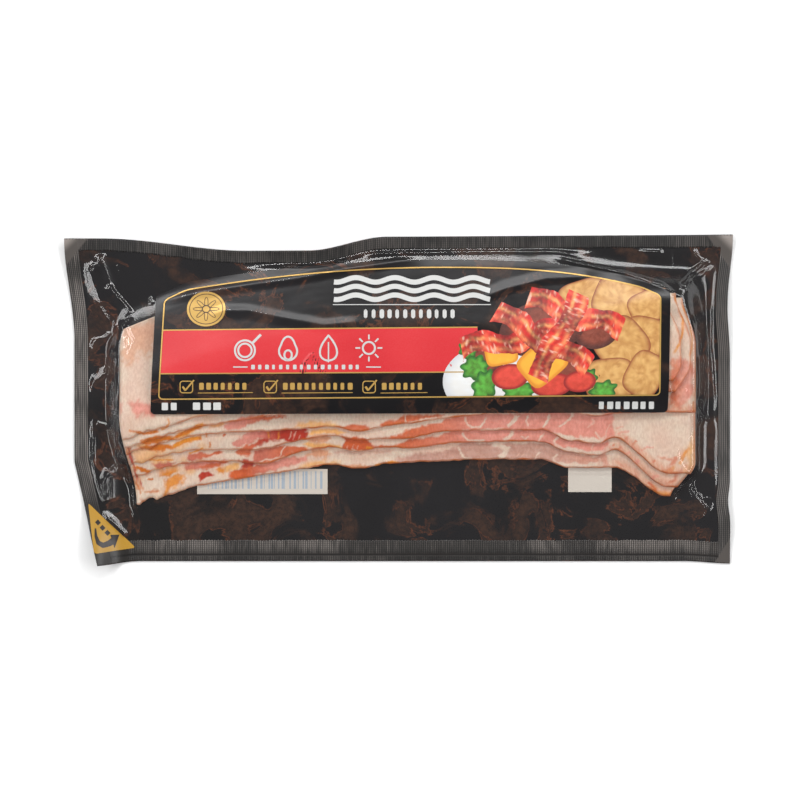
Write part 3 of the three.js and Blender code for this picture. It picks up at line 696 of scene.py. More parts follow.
def paint_patch(colour, patch, x, y, seed):
    """Lays a patch on the colours: its first colour turns into its last along it. Its border is torn, and
    fades over one and a half times its softness."""
    _, first, last, soft, torn, strength, outline = patch
    near = around(outline, x, y, soft + 2 * torn)
    px = x[near] + 1.2 * torn * mottle(x[near], y[near], 1.7, seed)
    px = px + 0.6 * torn * mottle(x[near], y[near], 0.8, seed + 1)
    py = y[near] + torn * mottle(x[near], y[near], 1.5, seed + 2)
    py = py + 0.5 * torn * mottle(x[near], y[near], 0.7, seed + 3)
    depth = along_line(outline + outline[:1], px, py)[0] * np.where(within(outline, px, py), 1, -1)
    start = min(point[0] for point in outline)
    end = max(point[0] for point in outline)
    turned = ramp(start + 0.15 * (end - start), start + 0.7 * (end - start), px)
    tone = blend(linear(first), linear(last), turned)
    grain = 0.12 * mottle(px, 2 * py, 3.0, seed + 4) + 0.09 * mottle(px, py, 0.9, seed + 5)
    border = smooth((1.6 - depth) / 1.6) * smooth(0.5 + 0.7 * mottle(px, py, 2.2, seed + 6))
    tone = tone * (1 + grain - 0.14 * border)[..., None] ** LEAN_SHADE_POWERS
    colour[near] = blend(colour[near], tone, strength * smooth(depth / (1.5 * soft) + 0.5))


def paint_streak(colour, streak, x, y, seed):
    """Lays a streak on the colours: uneven in width and strength, and fading at both ends."""
    _, tone, half, strength, line = streak
    near = around(line, x, y, 3 * half)
    px = x[near] + 0.25 * mottle(x[near], y[near], 1.2, seed)
    py = y[near] + 0.25 * mottle(x[near], y[near], 1.2, seed + 1)
    away, _, along = along_line(line, px, py)
    wide = half * (1.1 + 0.35 * mottle(px, py, 1.6, seed + 2))
    share = smooth((wide - away) / (0.5 * half + 0.2) + 0.5)
    share = share * smooth(along / 0.1) * smooth((1 - along) / 0.1)
    share = share * np.clip(1 + 0.35 * mottle(px, py, 0.9, seed + 3), 0, 1)
    colour[near] = blend(colour[near], linear(tone), strength * share)


def rasher_tint(i, x, y):
    """A rasher's colour: cream fat with pink clouds, patches and streaks, rims of its edges, and painted
    shade at its near edge.
    """
    d = y - lower_edge(i, x) - wobble(i, x)
    colour = np.broadcast_to(linear(FAT), x.shape + (3,))
    colour = blend(colour, linear(PINK_FAT), 0.6 * smooth(0.45 + 0.8 * mottle(x, y, 9, 70 + i)))
    colour = blend(colour, linear(TAN_FAT), 0.6 * ramp(88, 98, x) * ramp(6, 1, d))
    golden = 0.75 * ramp(-70, -95, x) * ramp(2, -8, y) * smooth(mottle(x, y, 5, 75 + i))
    colour = blend(colour, linear(WARM_FAT), golden)
    for n, patch in enumerate(PATCHES):
        if i in patch[0]:
            paint_patch(colour, patch, x, y, 300 + 10 * n)
    scallop = smooth((2.6 - d + 0.9 * mottle(x, y, 1.8, 160 + i)) / 0.9)
    colour = blend(colour, linear(FAT), 0.9 * ramp(66, 71, x) * ramp(91, 87, x) * scallop)
    pleated = smooth(1 - abs(mottle(x + 0.5 * d, 0.3 * y, 1.3, 170 + i)) * 2.2) * ramp(5.5, 1.0, d)
    colour = blend(colour, linear(PLEAT_SHADE), 0.6 * pleated * ramp(86, 94, x))
    for n, streak in enumerate(STREAKS):
        if i in streak[0]:
            paint_streak(colour, streak, x, y, 1000 + 10 * n)
    rim_width = 0.62 + 0.3 * mottle(x, 0 * y, 3, 195 + i) + 0.4 * ramp(112, 120, x)
    rim = smooth((rim_width - d) / 0.45 + 0.5) * (0.7 + 0.35 * mottle(x, 0 * y, 4, 198 + i))
    rim = rim * (1 - 0.3 * ramp(-80, -95, x))
    colour = blend(colour, linear(RIM), np.clip(rim, 0, 1))
    end_rim = 0.55 * ramp(1.4, 0.4, right_end(i, y) - x + 0.5 * mottle(x, y, 2, 233))
    colour = blend(colour, linear(RIM), end_rim)
    # Painted shade: a dark line along the near edge, where the rasher steps down onto the one below, stronger
    # towards the right
    under = smooth((0.2 - d) / 0.3 + 0.5) * (0.2 + 0.6 * ramp(10, 60, x))
    return blend(colour, linear(DARK_RIM_AND_SHADE), under * smooth(0.7 + mottle(x, 0 * y, 2, 240 + i)))


def rasher_finish():
    """Moist meat: the tint, with faint fibres across the rasher, a soft inner glow and a wet gloss."""
    shader = Shader("bacon")
    tint = shader.add("ShaderNodeVertexColor", {"layer_name": "tint"})
    fibre = shader.noise(1300, 3, 0.6, stretch=(1, 0.4, 1))
    cloud = shader.noise(360, 3)
    shade = shader.mix(fibre.over(0.3, 0.7), (240, 232, 229), (255, 255, 255))
    settings = {"data_type": "RGBA", "blend_type": "MULTIPLY"}
    shaded = shader.add("ShaderNodeMix", settings, {0: 1.0, 6: tint, 7: shade}, output=2)
    light = shader.mix(cloud.over(0.52, 0.8) * 0.08, shaded, (248, 226, 206))
    return shader.finish(shader.surface({
        "Base Color": light, "Roughness": fibre * 0.2 + 0.35,
        "Normal": shader.relief(fibre * 0.5 + cloud, 0.05),
        "Subsurface Weight": 0.15, "Subsurface Radius": (0.9, 0.4, 0.25), "Subsurface Scale": 0.0012,
    }))


# Rows of the mesh: close over the share of the width that shows, and far apart under the next rasher
NEAR_SHARES = (0.2, 0.18, 0.2, 0.26, 0.3, 0.3)
NEAR_ROWS = (32, 28, 30, 34, 32, 30)
FAR_ROWS = (12, 12, 14, 16, 30, 50)

bacon = rasher_finish()
for i in range(len(OFFSETS)):
    near_rows = np.linspace(0, NEAR_SHARES[i], NEAR_ROWS[i])
    far_rows = np.linspace(NEAR_SHARES[i], 1, FAR_ROWS[i])[1:]
    s, t = np.meshgrid(np.linspace(0, 1, 560), np.concatenate([near_rows, far_rows]))
    x, y = rasher_plan(i, s, t)
    below = sum(RASHER_THICKNESS * cover(k, x, y, 2.0) for k in range(i)) + 0 * x
    base = lift(x, y) + BACK_FILM + 0.02 + below
    thickness = RASHER_THICKNESS * (0.03 + 0.94 * cover(i, x, y, 1.0 + 1.3 * ramp(-60, -95, x)))
    surface = 0.05 * mottle(x, y, 2.2, 250 + i) + 0.03 * mottle(x, y, 0.9, 260 + i)
    top = np.stack([x, y, base + thickness + surface * cover(i, x, y, 1.0)], axis=-1)
    bottom = np.stack([x, y, base], axis=-1)
    tint = rasher_tint(i, x, y).reshape(-1, 3)
    make("rasher_%d" % (i + 1), shell(top, bottom), bacon, np.concatenate([tint, tint]))


# Front film
# The clear upper web, drawn down on the rashers by the vacuum. It rides over each step of the pile, and
# stands up in glossy pleats where there is more film than the pile needs.
FILM_GAP = 0.6
SEAL_WIDTHS = {"left": 6, "right": 5, "bottom": 8.8, "top": 5}

# Pleats of loose film: the points of the crest, its height, and the width of its slopes on the left and
# right of the way along it. Those of the first table are in the CAD solid too; the rest are fine creases.
PLEATS = (
    (((-130, 64.1), (-128, 57.6), (-125.9, 51.5), (-124.1, 46.7)), 1.25, 3.3, 7.0),
    (((-126.1, 50.7), (-124.6, 47.6), (-121.3, 44.1), (-118, 40.2), (-115.7, 36.5)), 1.3, 1.6, 6.0),
    (((-133, 61.1), (-133.7, 55.9), (-132.6, 51.5), (-130.2, 45.4), (-128, 41.1)), 1.3, 5.0, 3.9),
    (((-126.5, 15.4), (-127.4, 11.1), (-130, 8.9), (-132.8, 7.2), (-134.8, 2)), 1.3, 1.6, 3.6),
    (((-122.4, -28), (-124.4, -34.1), (-124.6, -45)), 1.7, 4.4, 1.7),
    (((-129.4, -48.9), (-124.6, -52.8), (-118, -59.4)), 1.5, 3.6, 1.7),
    (((133.7, 61.5), (130.5, 58), (127.2, 55.4), (124.8, 51.5), (121.1, 47.8)), 1.2, 1.6, 1.6),
    (((136.3, 59.8), (134.1, 56.3), (130, 53.9), (126.7, 52.4), (124.4, 49.1),
        (124.1, 45.9)), 1.0, 1.8, 1.6),
    (((137.2, 60.7), (136.6, 50.2), (135.4, 36.7), (135.2, 24.1), (136.1, 12.4),
        (137.1, -0.2), (135.9, -8)), 0.9, 1.6, 2.2),
    (((135.9, -6.3), (138, -12.8), (137.4, -22.4), (137.4, -32.4), (138.3, -44.1),
        (137.8, -58.5)), 0.9, 1.6, 1.6),
    (((127.2, -32.4), (127, -37.2), (128.5, -41.5), (132, -45.9), (134.6, -47.6)), 1.3, 1.7, 1.6),
)
CREASES = (
    (((-129.8, 43.3), (-126.7, 38), (-124.1, 34.6)), 0.8, 5.0, 1.3),
    (((-132.7, -6.7), (-132.7, -24.6), (-131.7, -32.4), (-129.5, -39.3), (-127.2, -43.3),
        (-124.4, -46.3)), 1.0, 1.1, 1.6),
    (((-119.6, -26.7), (-124.1, -29.8), (-126.7, -33.3), (-127.4, -36.7), (-126.7, -41.1),
        (-124.6, -45.9)), 1.0, 1.3, 1.3),
    (((-133.7, 55.4), (-133, 57.6), (-131.5, 59.4)), 0.5, 0.9, 0.9),
    (((-131.1, 57.2), (-130.2, 59.8), (-128.9, 62.4)), 0.5, 0.8, 0.8),
    (((-115.4, 37), (-118.1, 33.7), (-120.2, 31.1)), 0.9, 1.1, 1.1),
    (((-118.5, 34.1), (-116.3, 28.9), (-114.3, 25.6), (-115.9, 22.4), (-117.6, 18.9)), 0.4, 0.7, 0.7),
    (((-117.8, 27.2), (-117.2, 22.4)), 0.8, 1.3, 1.3),
    (((-124.1, 29.8), (-128, 26.7), (-131.1, 26.1), (-133.7, 23.7), (-135.9, 22.6)), 1.0, 1.6, 1.7),
    (((-133.5, 21.1), (-131.5, 24.3), (-129.6, 22)), 0.4, 0.8, 0.8),
    (((-122.4, 23.3), (-125, 19.8), (-125.9, 15.4), (-127.2, 11.5)), 0.8, 1.1, 1.3),
    (((-122.8, 21.5), (-122.6, 8.5), (-121.7, -2.4), (-120.2, -12)), 0.8, 0.9, 1.0),
    (((-132.7, -15.9), (-132.7, -26.3)), 1.0, 1.0, 2.8),
    (((-131.5, -10), (-125.4, -11.7), (-118.9, -13.9)), 1.0, 2.4, 1.2),
    (((-120.4, -13.3), (-121.1, -21.5), (-120, -27.6)), 0.8, 1.1, 1.1),
    (((-126.7, -29.3), (-128.7, -35)), 0.8, 1.2, 2.0),
    (((-115.4, -37.2), (-115, -52.4)), 0.4, 0.8, 0.8),
    (((-122.4, 60.2), (-120.7, 54.1)), 0.3, 0.7, 0.7),
    (((-107.8, 45), (-107, 41.5)), 0.6, 1.1, 1.1),
    (((-124.1, 34.6), (-122.8, 32.4), (-121.5, 30.9)), 0.5, 0.9, 0.9),
    (((128.7, 65.9), (129.8, 62.4), (132.8, 60.2)), 0.7, 1.1, 1.1),
    (((132.8, 61.1), (135, 59.4)), 0.5, 1.2, 1.2),
    (((127, 37.6), (128.9, 32.8), (131.1, 35.4), (133.7, 35.9)), 0.9, 1.1, 1.1),
    (((128, 30.2), (131.1, 32), (132.4, 35)), 0.6, 0.9, 0.9),
    (((129.6, 20.7), (130, 8.5), (129.6, -2)), 1.0, 3.0, 1.0),
    (((128.5, -2), (131.1, -5.4), (135, -9.3)), 0.9, 1.2, 1.2),
    (((129.8, -10.7), (131.5, -6.3), (128.5, -2.4)), 0.7, 1.0, 1.0),
    (((123, 9.3), (124.1, 1.5), (126.3, -2.4), (127, -8), (126.7, -14.6),
        (124.1, -18), (120.9, -21.1)), 0.4, 0.7, 0.7),
    (((120.4, -20.2), (121.4, -25.9), (124.1, -30.2), (127.6, -33.3)), 0.5, 0.7, 0.7),
    (((113.7, -6.7), (117.2, -14.1), (120.7, -22.8)), 0.22, 0.9, 0.9),
    (((116.3, 8), (117.6, 1.1), (115.9, -2.4)), 0.4, 0.7, 0.7),
    (((129.8, -39.8), (132, -43.3), (135.9, -42.4)), 0.7, 1.0, 1.0),
    (((132.4, -51.1), (135, -47.6), (136.7, -43.3)), 0.7, 1.2, 1.2),
    (((119.8, -41.1), (122.4, -38.5), (125.9, -36.3)), 0.9, 2.0, 1.4),
    (((118.5, 65.9), (118.7, 54.1)), 0.3, 0.7, 0.7),
    (((104.1, 64.8), (109.4, 64.1), (115.4, 64.6)), 0.8, 2.6, 1.4),
    (((-72.4, 58), (-51.5, 61.5), (-25.4, 63.3), (9.3, 64.4), (44.1, 65),
        (70.2, 64.8), (84.1, 59.8)), 0.9, 1.9, 1.4),
    (((-108, 41.5), (-86.7, 46.7), (-68.9, 49.3), (-43.7, 52.8), (-23.3, 56.7),
        (0.7, 60.2), (14.6, 61.3)), 0.6, 2.4, 3.0),
    (((-85, 35.4), (-75, 38.9), (-64.6, 38.7), (-48.9, 35.4), (-32, 32.4), (-14.1, 34.1)), 0.6, 3.0, 4.0),
    (((34.6, 43.3), (46.3, 48), (63.7, 52.4), (83.3, 53.3)), 0.7, 4.4, 2.6),
    (((66.7, 62), (83.3, 58), (98.5, 55), (113.7, 49.8), (124.1, 42.8)), 0.8, 1.4, 1.2),
    (((-41.5, 10.7), (-40.2, 16.3), (-36.7, 20.7)), 0.7, 1.2, 1.2),
    (((-37.2, 20.7), (-34.1, 13.7), (-29.3, 7.6)), 0.5, 1.1, 1.1),
    (((-114.1, -54.6), (-60.2, -54.4), (9.3, -54.8), (70.2, -54.4), (131.1, -55)), 0.25, 0.7, 0.8),
    (((-55.9, -29.8), (-42.8, -34.6), (-23.3, -32.4), (-5.9, -35)), 0.3, 0.7, 0.7),
    (((97.2, -39.3), (107.2, -43.7), (117.2, -45)), 0.4, 0.9, 0.9),
)


def pleats(x, y):
    """The height of the loose film's pleats: nearly straight slopes on both sides of each crest."""
    height = 0 * x
    for crest, rise, left, right in PLEATS + CREASES:
        near = around(crest, x, y, max(left, right))
        away, side, along = along_line(crest, x[near], y[near])
        slope = np.clip(1 - away / np.where(side > 0, left, right), 0, 1) ** 1.25
        height[near] += rise * slope * smooth(along / 0.15) * smooth((1 - along) / 0.15)
    return height


def freedom(x, y):
    """0 on the heat seals and 1 from 3 mm inside them."""
    inside = np.minimum(x - left_side(y) - SEAL_WIDTHS["left"], right_side(y) - SEAL_WIDTHS["right"] - x)
    inside = np.minimum(inside, y - bottom_side(x) - SEAL_WIDTHS["bottom"])
    return smooth(np.minimum(inside, top_side(x) - SEAL_WIDTHS["top"] - y) / 3)


def film_top(x, y):
    """The front film's height: close over the back film at the seals, and over pile and pleats inside."""
    ripple = 0.07 * mottle(x, y, 11, 5) + 0.03 * mottle(x, y, 4.5, 6) + 0.012 * mottle(x, y, 1.8, 7)
    free = freedom(x, y)
    return lift(x, y) + 0.2 + free * (FILM_GAP - 0.2 + film_pile(x, y) + pleats(x, y) + ripple)


def front_film_finish():
    """Clear film: what is behind it shows, but for the share that its two faces mirror."""
    shader = Shader("front_film")
    facing = shader.add("ShaderNodeLayerWeight", {}, {"Blend": 0.5}, output="Facing")
    mirror = facing.math("POWER", 4.0) * 0.8 + 0.063
    gloss = {"Base Color": (0.95, 0.95, 0.95, 1), "Metallic": 1.0, "Roughness": 0.14}
    gloss["Normal"] = shader.relief(shader.noise(240, 3), 0.02)
    clear = shader.add("ShaderNodeBsdfTransparent", {}, {"Color": (0.985, 0.985, 0.98, 1)})
    return shader.finish(
        shader.add("ShaderNodeMixShader", {}, {0: mirror, 1: clear, 2: shader.surface(gloss)})
    )


def spaced(stretches, start):
    """Lines from start on, each stretch up to an end with an even spacing."""
    lines = [np.array([start])]
    for end, spacing in stretches:
        count = max(1, round((end - start) / spacing))
        lines.append(np.linspace(start, end, count + 1)[1:])
        start = end
    return np.concatenate(lines)


film_columns = spaced(((-138, 0.8), (-108, 0.42), (108, 1.15), (139, 0.42), (143.6, 0.8)), -143.6)
film_rows = spaced(((-60, 0.9), (-44, 0.6), (-4, 0.42), (40, 0.75), (70.6, 0.5)), -70.6)
u, v = np.meshgrid((film_columns / HALF_LENGTH + 1) / 2, (film_rows / HALF_DEPTH + 1) / 2)
# The film ends on the seals, a little inside the pack's edges
inset_u = 0.012 + 0.976 * u
inset_v = 0.03 + 0.95 * v
x, y = plan(inset_u, inset_v)
film_points = np.stack([x, y, film_top(x, y)], axis=-1)
front_film = make("front_film", grid(film_points), front_film_finish())
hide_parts("sealed_pack")


# Label
# The panel printed on the front film in black, gold, red and colours: a straight foot, an arched head, a
# gold frame, a red band and a picture of breakfast. It follows the film over the pile.
LABEL = {
    "left": -106.9, "left_lean": 1.5, "right": 116.2, "right_lean": 1.0,
    "foot_left": -6.2, "foot_right": -5.4, "over_arch": 3.4,
}
FRAME = {
    "left": -103.3, "left_lean": 1.7, "right": 112.5, "right_lean": 0.4,
    "foot_left": 0.3, "foot_right": 2.1, "over_arch": 0.0,
}
PRINT_STEP = 0.035


def arch(x):
    """The frame's head line: highest at x = 18, falling by a power of the distance to both sides, and a
    little more at its ends."""
    left = 10.2 * (np.maximum(0, 18 - x) / 113) ** 1.9 + 3.2 * ramp(-90, -105, x)
    right = 9.6 * (np.maximum(0, x - 18) / 90) ** 2.7 + 1.2 * ramp(103, 113, x)
    return 57.5 - left - right


def on_film(x, y, layer):
    """Points on the front film's surface, raised by so many layers of print."""
    return np.stack([x, y, film_top(x, y) + layer * PRINT_STEP], axis=-1)


def rounded_rectangle(width, height, radius, spacing):
    """A path round a rectangle with round corners, anticlockwise from the foot of its right side, with its
    first point again at its end."""
    turn = np.linspace(0, np.pi / 2, 9)
    corners = ((width - radius, radius, -np.pi / 2), (width - radius, height - radius, 0),
               (radius, height - radius, np.pi / 2), (radius, radius, np.pi))
    arcs = [
        np.stack([cx + radius * np.cos(turn + start), cy + radius * np.sin(turn + start)], axis=-1)
        for cx, cy, start in corners
    ]
    path = []
    for arc, following in zip(arcs, arcs[1:] + arcs[:1]):
        side = following[0] - arc[-1]
        count = max(2, int(np.linalg.norm(side) / spacing))
        path += [arc, arc[-1] + side * np.linspace(0, 1, count)[1:-1, None]]
    return np.concatenate(path + [arcs[0][:1]])



def panel(edge, s, t):
    """The point at share s of a panel's width and share t of its height, between foot, leaning sides and
    arch."""
    left = edge["left"] + edge["left_lean"] * t
    x = left + (edge["right"] + edge["right_lean"] * t - left) * s
    foot = edge["foot_left"] + (edge["foot_right"] - edge["foot_left"]) * s
    return x, foot + (arch(x) + edge["over_arch"] - foot) * t


def panel_outline(edge, radius):
    """The label's or the frame's outline: a rounded rectangle stretched to the panel."""
    width = 221
    height = 52
    path = rounded_rectangle(width, height, radius, 1.2)
    return panel(edge, path[:, 0] / width, path[:, 1] / height)


def ribbon(x, y, width, layer, closed=True):
    """A printed line: a path widened to both sides along its normals and laid on the film."""
    if closed:
        dx = np.roll(x, -1) - np.roll(x, 1)
        dy = np.roll(y, -1) - np.roll(y, 1)
    else:
        dx = np.gradient(x)
        dy = np.gradient(y)
    length = np.maximum(np.hypot(dx, dy), 1e-9)
    side = np.linspace(0.5, -0.5, 3)[:, None] * width
    px = x - side * dy / length
    py = y + side * dx / length
    if closed:
        px = np.concatenate([px, px[:, :1]], axis=1)
        py = np.concatenate([py, py[:, :1]], axis=1)
    return grid(on_film(px[::-1], py[::-1], layer))


def filled(x, y, layer, rings):
    """A printed field: rings from a middle point out to a closed outline, laid on the film."""
    cx = x.mean()
    cy = y.mean()
    share = np.linspace(0.0, 1, rings + 1)[:, None]
    px = cx + share * (np.append(x, x[0]) - cx)
    py = cy + share * (np.append(y, y[0]) - cy)
    return grid(on_film(px, py, layer)[::-1])


def ink_finish(name, roughness=0.3, metallic=0.0, speckle=0.05, plain=None):
    """Printed ink under a satin varnish: the vertex tint or a plain colour, with a fine print grain."""
    shader = Shader(name)
    grain = shader.noise(2600, 2)
    if speckle == 0:
        colour = (*linear(plain), 1)
    else:
        tint = plain or shader.add("ShaderNodeVertexColor", {"layer_name": "tint"})
        colour = shader.mix(grain * speckle, tint, (255, 255, 255))
    inputs = {"Base Color": colour, "Roughness": grain * 0.1 + roughness, "Metallic": metallic}
    return shader.finish(shader.surface(inputs))


def black_ink_finish():
    """The label's black field with the same marbling as the back film, under a satin varnish."""
    shader = Shader("label_black")
    inputs = {"Base Color": marble(shader), "Roughness": shader.noise(90, 3) * 0.12 + 0.24}
    return shader.finish(shader.surface(inputs))


black_ink = black_ink_finish()
colour_ink = ink_finish("label_colours")
gold_ink = ink_finish("label_gold", roughness=0.3, metallic=0.35, plain=(208, 166, 84))
white_ink = ink_finish("label_white", plain=(204, 204, 202), speckle=0.02)


x, y = panel(FRAME, *np.meshgrid(np.linspace(0, 1, 280), np.linspace(0, 1, 80)))
make("label_ground", grid(on_film(x, y, 1)), black_ink)

outer_x, outer_y = panel_outline(LABEL, 2.0)
inner_x, inner_y = panel_outline(FRAME, 2.0)
share = np.linspace(0, 1, 8)[:, None]
ring_x = outer_x + share * (inner_x - outer_x)
ring_y = outer_y + share * (inner_y - outer_y)
ring_x = np.concatenate([ring_x, ring_x[:, :1]], axis=1)
ring_y = np.concatenate([ring_y, ring_y[:, :1]], axis=1)
make("label_border", grid(on_film(ring_x, ring_y, 7)), black_ink)
make("label_frame", ribbon(inner_x, inner_y, 0.55, 8), gold_ink)


# Red band
# A band of red ink across the label's left half, with a thin gold line above and below it. It ends behind
# the picture, and a painted sheen of lighter red lies on it in soft random patches.
BAND = {
    "left": -102.6, "right": 34,
    "top_left": 30.2, "top_right": 31.4, "foot_left": 11.3, "foot_right": 12.1,
}
BAND_RED = (208, 18, 33)
BAND_SHEEN_RED = (218, 42, 49)


def band_y(x, level):
    """The height of a line across the band, from its foot at level 0 to its top at level 1."""
    t = (x - BAND["left"]) / (BAND["right"] - BAND["left"])
    foot = BAND["foot_left"] + t * (BAND["foot_right"] - BAND["foot_left"])
    top = BAND["top_left"] + t * (BAND["top_right"] - BAND["top_left"])
    return foot + level * (top - foot)


s, t = np.meshgrid(np.linspace(0, 1, 180), np.linspace(0, 1, 36))
x = BAND["left"] + s * (BAND["right"] - BAND["left"])
y = band_y(x, t)
red = np.broadcast_to(linear(BAND_RED), x.shape + (3,))
# Painted sheen: lighter red in soft random patches
red = blend(red, linear(BAND_SHEEN_RED), 0.5 + 0.5 * mottle(x, y, 16, 8))
make("red_band", grid(on_film(x, y, 2)), colour_ink, red.reshape(-1, 3))
rule_x = np.linspace(BAND["left"], BAND["right"], 120)
rules = [ribbon(rule_x, band_y(rule_x, level), 0.5, 3, closed=False) for level in (0, 1)]
make("band_lines", join(rules), gold_ink)


# Badge
# A disc of gold ink at the label's top left, on the black field. Two thin dark rings are printed on it, round
# a plain eight-leaved rosette.
BADGE = {"x": -83.3, "y": 39.4, "half_width": 8.4, "half_height": 7.6}
turn = np.linspace(0, 2 * np.pi, 97)[:-1]


def badge_path(scale, wave=0.0):
    """The disc's outline at a scale, with eight waves where a rosette is wanted."""
    reach = scale * (1 + wave * np.cos(8 * turn))
    x = BADGE["x"] + BADGE["half_width"] * reach * np.cos(turn)
    return x, BADGE["y"] + BADGE["half_height"] * reach * np.sin(turn)


make("badge", filled(*badge_path(1), 3, rings=8), gold_ink)
dark_ink = ink_finish("label_dark", plain=(84, 58, 34), speckle=0.03)
rings = [
    ribbon(*badge_path(0.86), 0.35, 4), ribbon(*badge_path(0.45, 0.5), 0.3, 4),
    ribbon(*badge_path(0.2), 0.5, 4),
]
make("badge_rings", join(rings), dark_ink)


# White ornament
# White ink on the black field, under the label's arch: three waving bars, a thin rule and a row of small
# rounded bars.
def bars(places, height, layer=3, radius=0.35):
    """A row of plain rounded bars: each from a left to a right end at a foot height."""
    parts = []
    for left, right, foot in places:
        path = rounded_rectangle(right - left, height, min(radius, height / 2.01), 1.0)
        parts.append(filled(left + path[:, 0], foot + path[:, 1], layer, rings=2))
    return join(parts)


def bar_row(left, right, foot, pitch, share, seed=3):
    """Bars of slightly uneven width at an even pitch between two places."""
    starts = np.arange(left, right - pitch * 0.5, pitch)
    widths = pitch * share * np.random.default_rng(seed).uniform(0.8, 1.1, len(starts))
    return [(start, start + width, foot) for start, width in zip(starts, widths)]


wave_x = np.linspace(-28.0, 39.5, 150)
waves = [
    ribbon(wave_x, foot + 1.0 * np.sin((wave_x - 28) * 2 * np.pi / 16.9), 2.2, 3, closed=False)
    for foot in (44.4, 48.2, 52.0)
]
rule = np.linspace(-28.4, 39.8, 60)
waves.append(ribbon(rule, 41.2 + 0 * rule, 0.35, 3, closed=False))
waves.append(bars(bar_row(-15, 26, 35.2, 3.4, 0.55), 4.0, radius=1.0))
make("white_ornament", join(waves), white_ink)


# Kitchen signs
# Four signs in thin lines of white ink on the red band, a pan, a flame, a leaf and a sun. Under them is a
# row of small bars between two rules.
PAN_X = -66.2
FLAME_X = -47.6
LEAF_X = -30.2
SUN_X = -12.8
SIGN_HEIGHT = 22.4
SIGN_STROKE = 0.85


def closed_curve(cx, cy, fx, fy):
    """A ribbon along a closed curve round a centre."""
    return ribbon(cx + fx, cy + fy, SIGN_STROKE, 4)


def open_line(x0, y0, x1, y1, width=SIGN_STROKE):
    """A straight printed line."""
    t = np.linspace(0, 1, 12)
    return ribbon(x0 + t * (x1 - x0), y0 + t * (y1 - y0), width, 4, closed=False)


def flame_radius(angle):
    """A drop with its point up: the radius grows towards the top by a power."""
    return 3.9 + 2.4 * np.clip(np.sin(angle), 0, 1) ** 6


flame = flame_radius(turn)
signs = [
    closed_curve(PAN_X, SIGN_HEIGHT - 1, 4.3 * np.cos(turn), 4.3 * np.sin(turn)),
    closed_curve(PAN_X, SIGN_HEIGHT - 1, 2.9 * np.cos(turn), 2.9 * np.sin(turn)),
    open_line(PAN_X + 3.1, SIGN_HEIGHT + 2.0, PAN_X + 6.8, SIGN_HEIGHT + 5.8, 1.1),
    closed_curve(FLAME_X, SIGN_HEIGHT - 1.4, flame * np.cos(turn), flame * np.sin(turn)),
    closed_curve(FLAME_X, SIGN_HEIGHT - 3.0, 1.6 * np.cos(turn), 2.0 * np.sin(turn)),
    closed_curve(LEAF_X, SIGN_HEIGHT, 4.8 * np.sin(turn) * np.abs(np.sin(turn / 2)), 5.4 * np.cos(turn)),
    open_line(LEAF_X, SIGN_HEIGHT - 6.2, LEAF_X, SIGN_HEIGHT + 2.6, 0.6),
    closed_curve(SUN_X, SIGN_HEIGHT, 2.6 * np.cos(turn), 2.6 * np.sin(turn)),
]
sun = np.array([SUN_X, SIGN_HEIGHT])
for angle in np.arange(8) * np.pi / 4:
    ray = np.array([np.cos(angle), np.sin(angle)])
    signs.append(open_line(*(sun + 3.7 * ray), *(sun + 5.8 * ray), 0.7))
signs.append(open_line(-71.3, 14.2, -65, 14.2, 0.5))
signs.append(open_line(-14, 14.2, -7.6, 14.2, 0.5))
signs.append(bars(bar_row(-63.5, -15.5, 13.2, 3.0, 0.5, 4), 2.0, 4))
make("band_signs", join(signs), white_ink)


# Ticked boxes
# Three boxes with ticks in gold ink on the black strip under the red band, each with a row of plain bars
# over a thin line. White bars stand on the border at both ends of the label's foot.
def tick(cx, cy):
    """A tick: a short stroke down and a long one up, past the box's corner."""
    short = open_line(cx - 1.6, cy + 0.4, cx - 0.4, cy - 1.3, 0.9)
    return [short, open_line(cx - 0.5, cy - 1.3, cx + 3.3, cy + 3.2, 0.7)]


gold_marks = []
for box_left, line_end in ((-94.1, -62.8), (-58.0, -19.8), (-15.4, 12.4)):
    path = rounded_rectangle(5.4, 5.0, 1.2, 0.8)
    gold_marks.append(ribbon(box_left + path[:, 0], 3.1 + path[:, 1], 0.45, 4))
    gold_marks += tick(box_left + 2.7, 5.4)
    gold_marks.append(bars(bar_row(box_left + 8.2, line_end, 4.4, 3.1, 0.62, 5), 3.0, 4, 0.5))
    gold_marks.append(open_line(box_left + 7.6, 3.0, line_end, 3.2, 0.3))
make("ticked_boxes", join(gold_marks), gold_ink)

foot_marks = bar_row(-102, -94.0, -4.4, 3.9, 0.72, 6) + bar_row(-88.6, -75.6, -4.3, 4.4, 0.72, 7)
foot_marks += bar_row(86.4, 111.6, -3.9, 3.6, 0.66, 8)
make("foot_marks", bars(foot_marks, 3.2, 8), white_ink)


# Picture
# A breakfast scene printed at the label's right: a pale plate, slices of toast, salad leaves, tomato, cheese,
# patties and four waved rashers. Every shape is a field of ink with its own shading.
def shape(cx, cy, rx, ry, turned=0.0, power=2.0, lobes=0, depth=0.0, count=72, rings=10):
    """A closed shape: a superellipse with lobes round it, as shares of its radius, turned in its plane."""
    angle = np.linspace(0, 2 * np.pi, count + 1)
    c = np.cos(angle)
    s = np.sin(angle)
    reach = (np.abs(c) ** power + np.abs(s) ** power) ** (-1 / power)
    reach = reach * (1 + depth * np.cos(lobes * angle))
    share = np.linspace(1, 0.0, rings + 1)[:, None]
    px = share * rx * reach * c
    py = share * ry * reach * s
    x = cx + px * np.cos(turned) - py * np.sin(turned)
    y = cy + px * np.sin(turned) + py * np.cos(turned)
    return x, y, share + 0 * x


PRINT_SHADE_POWERS = (0.6, 1.0, 1.5)


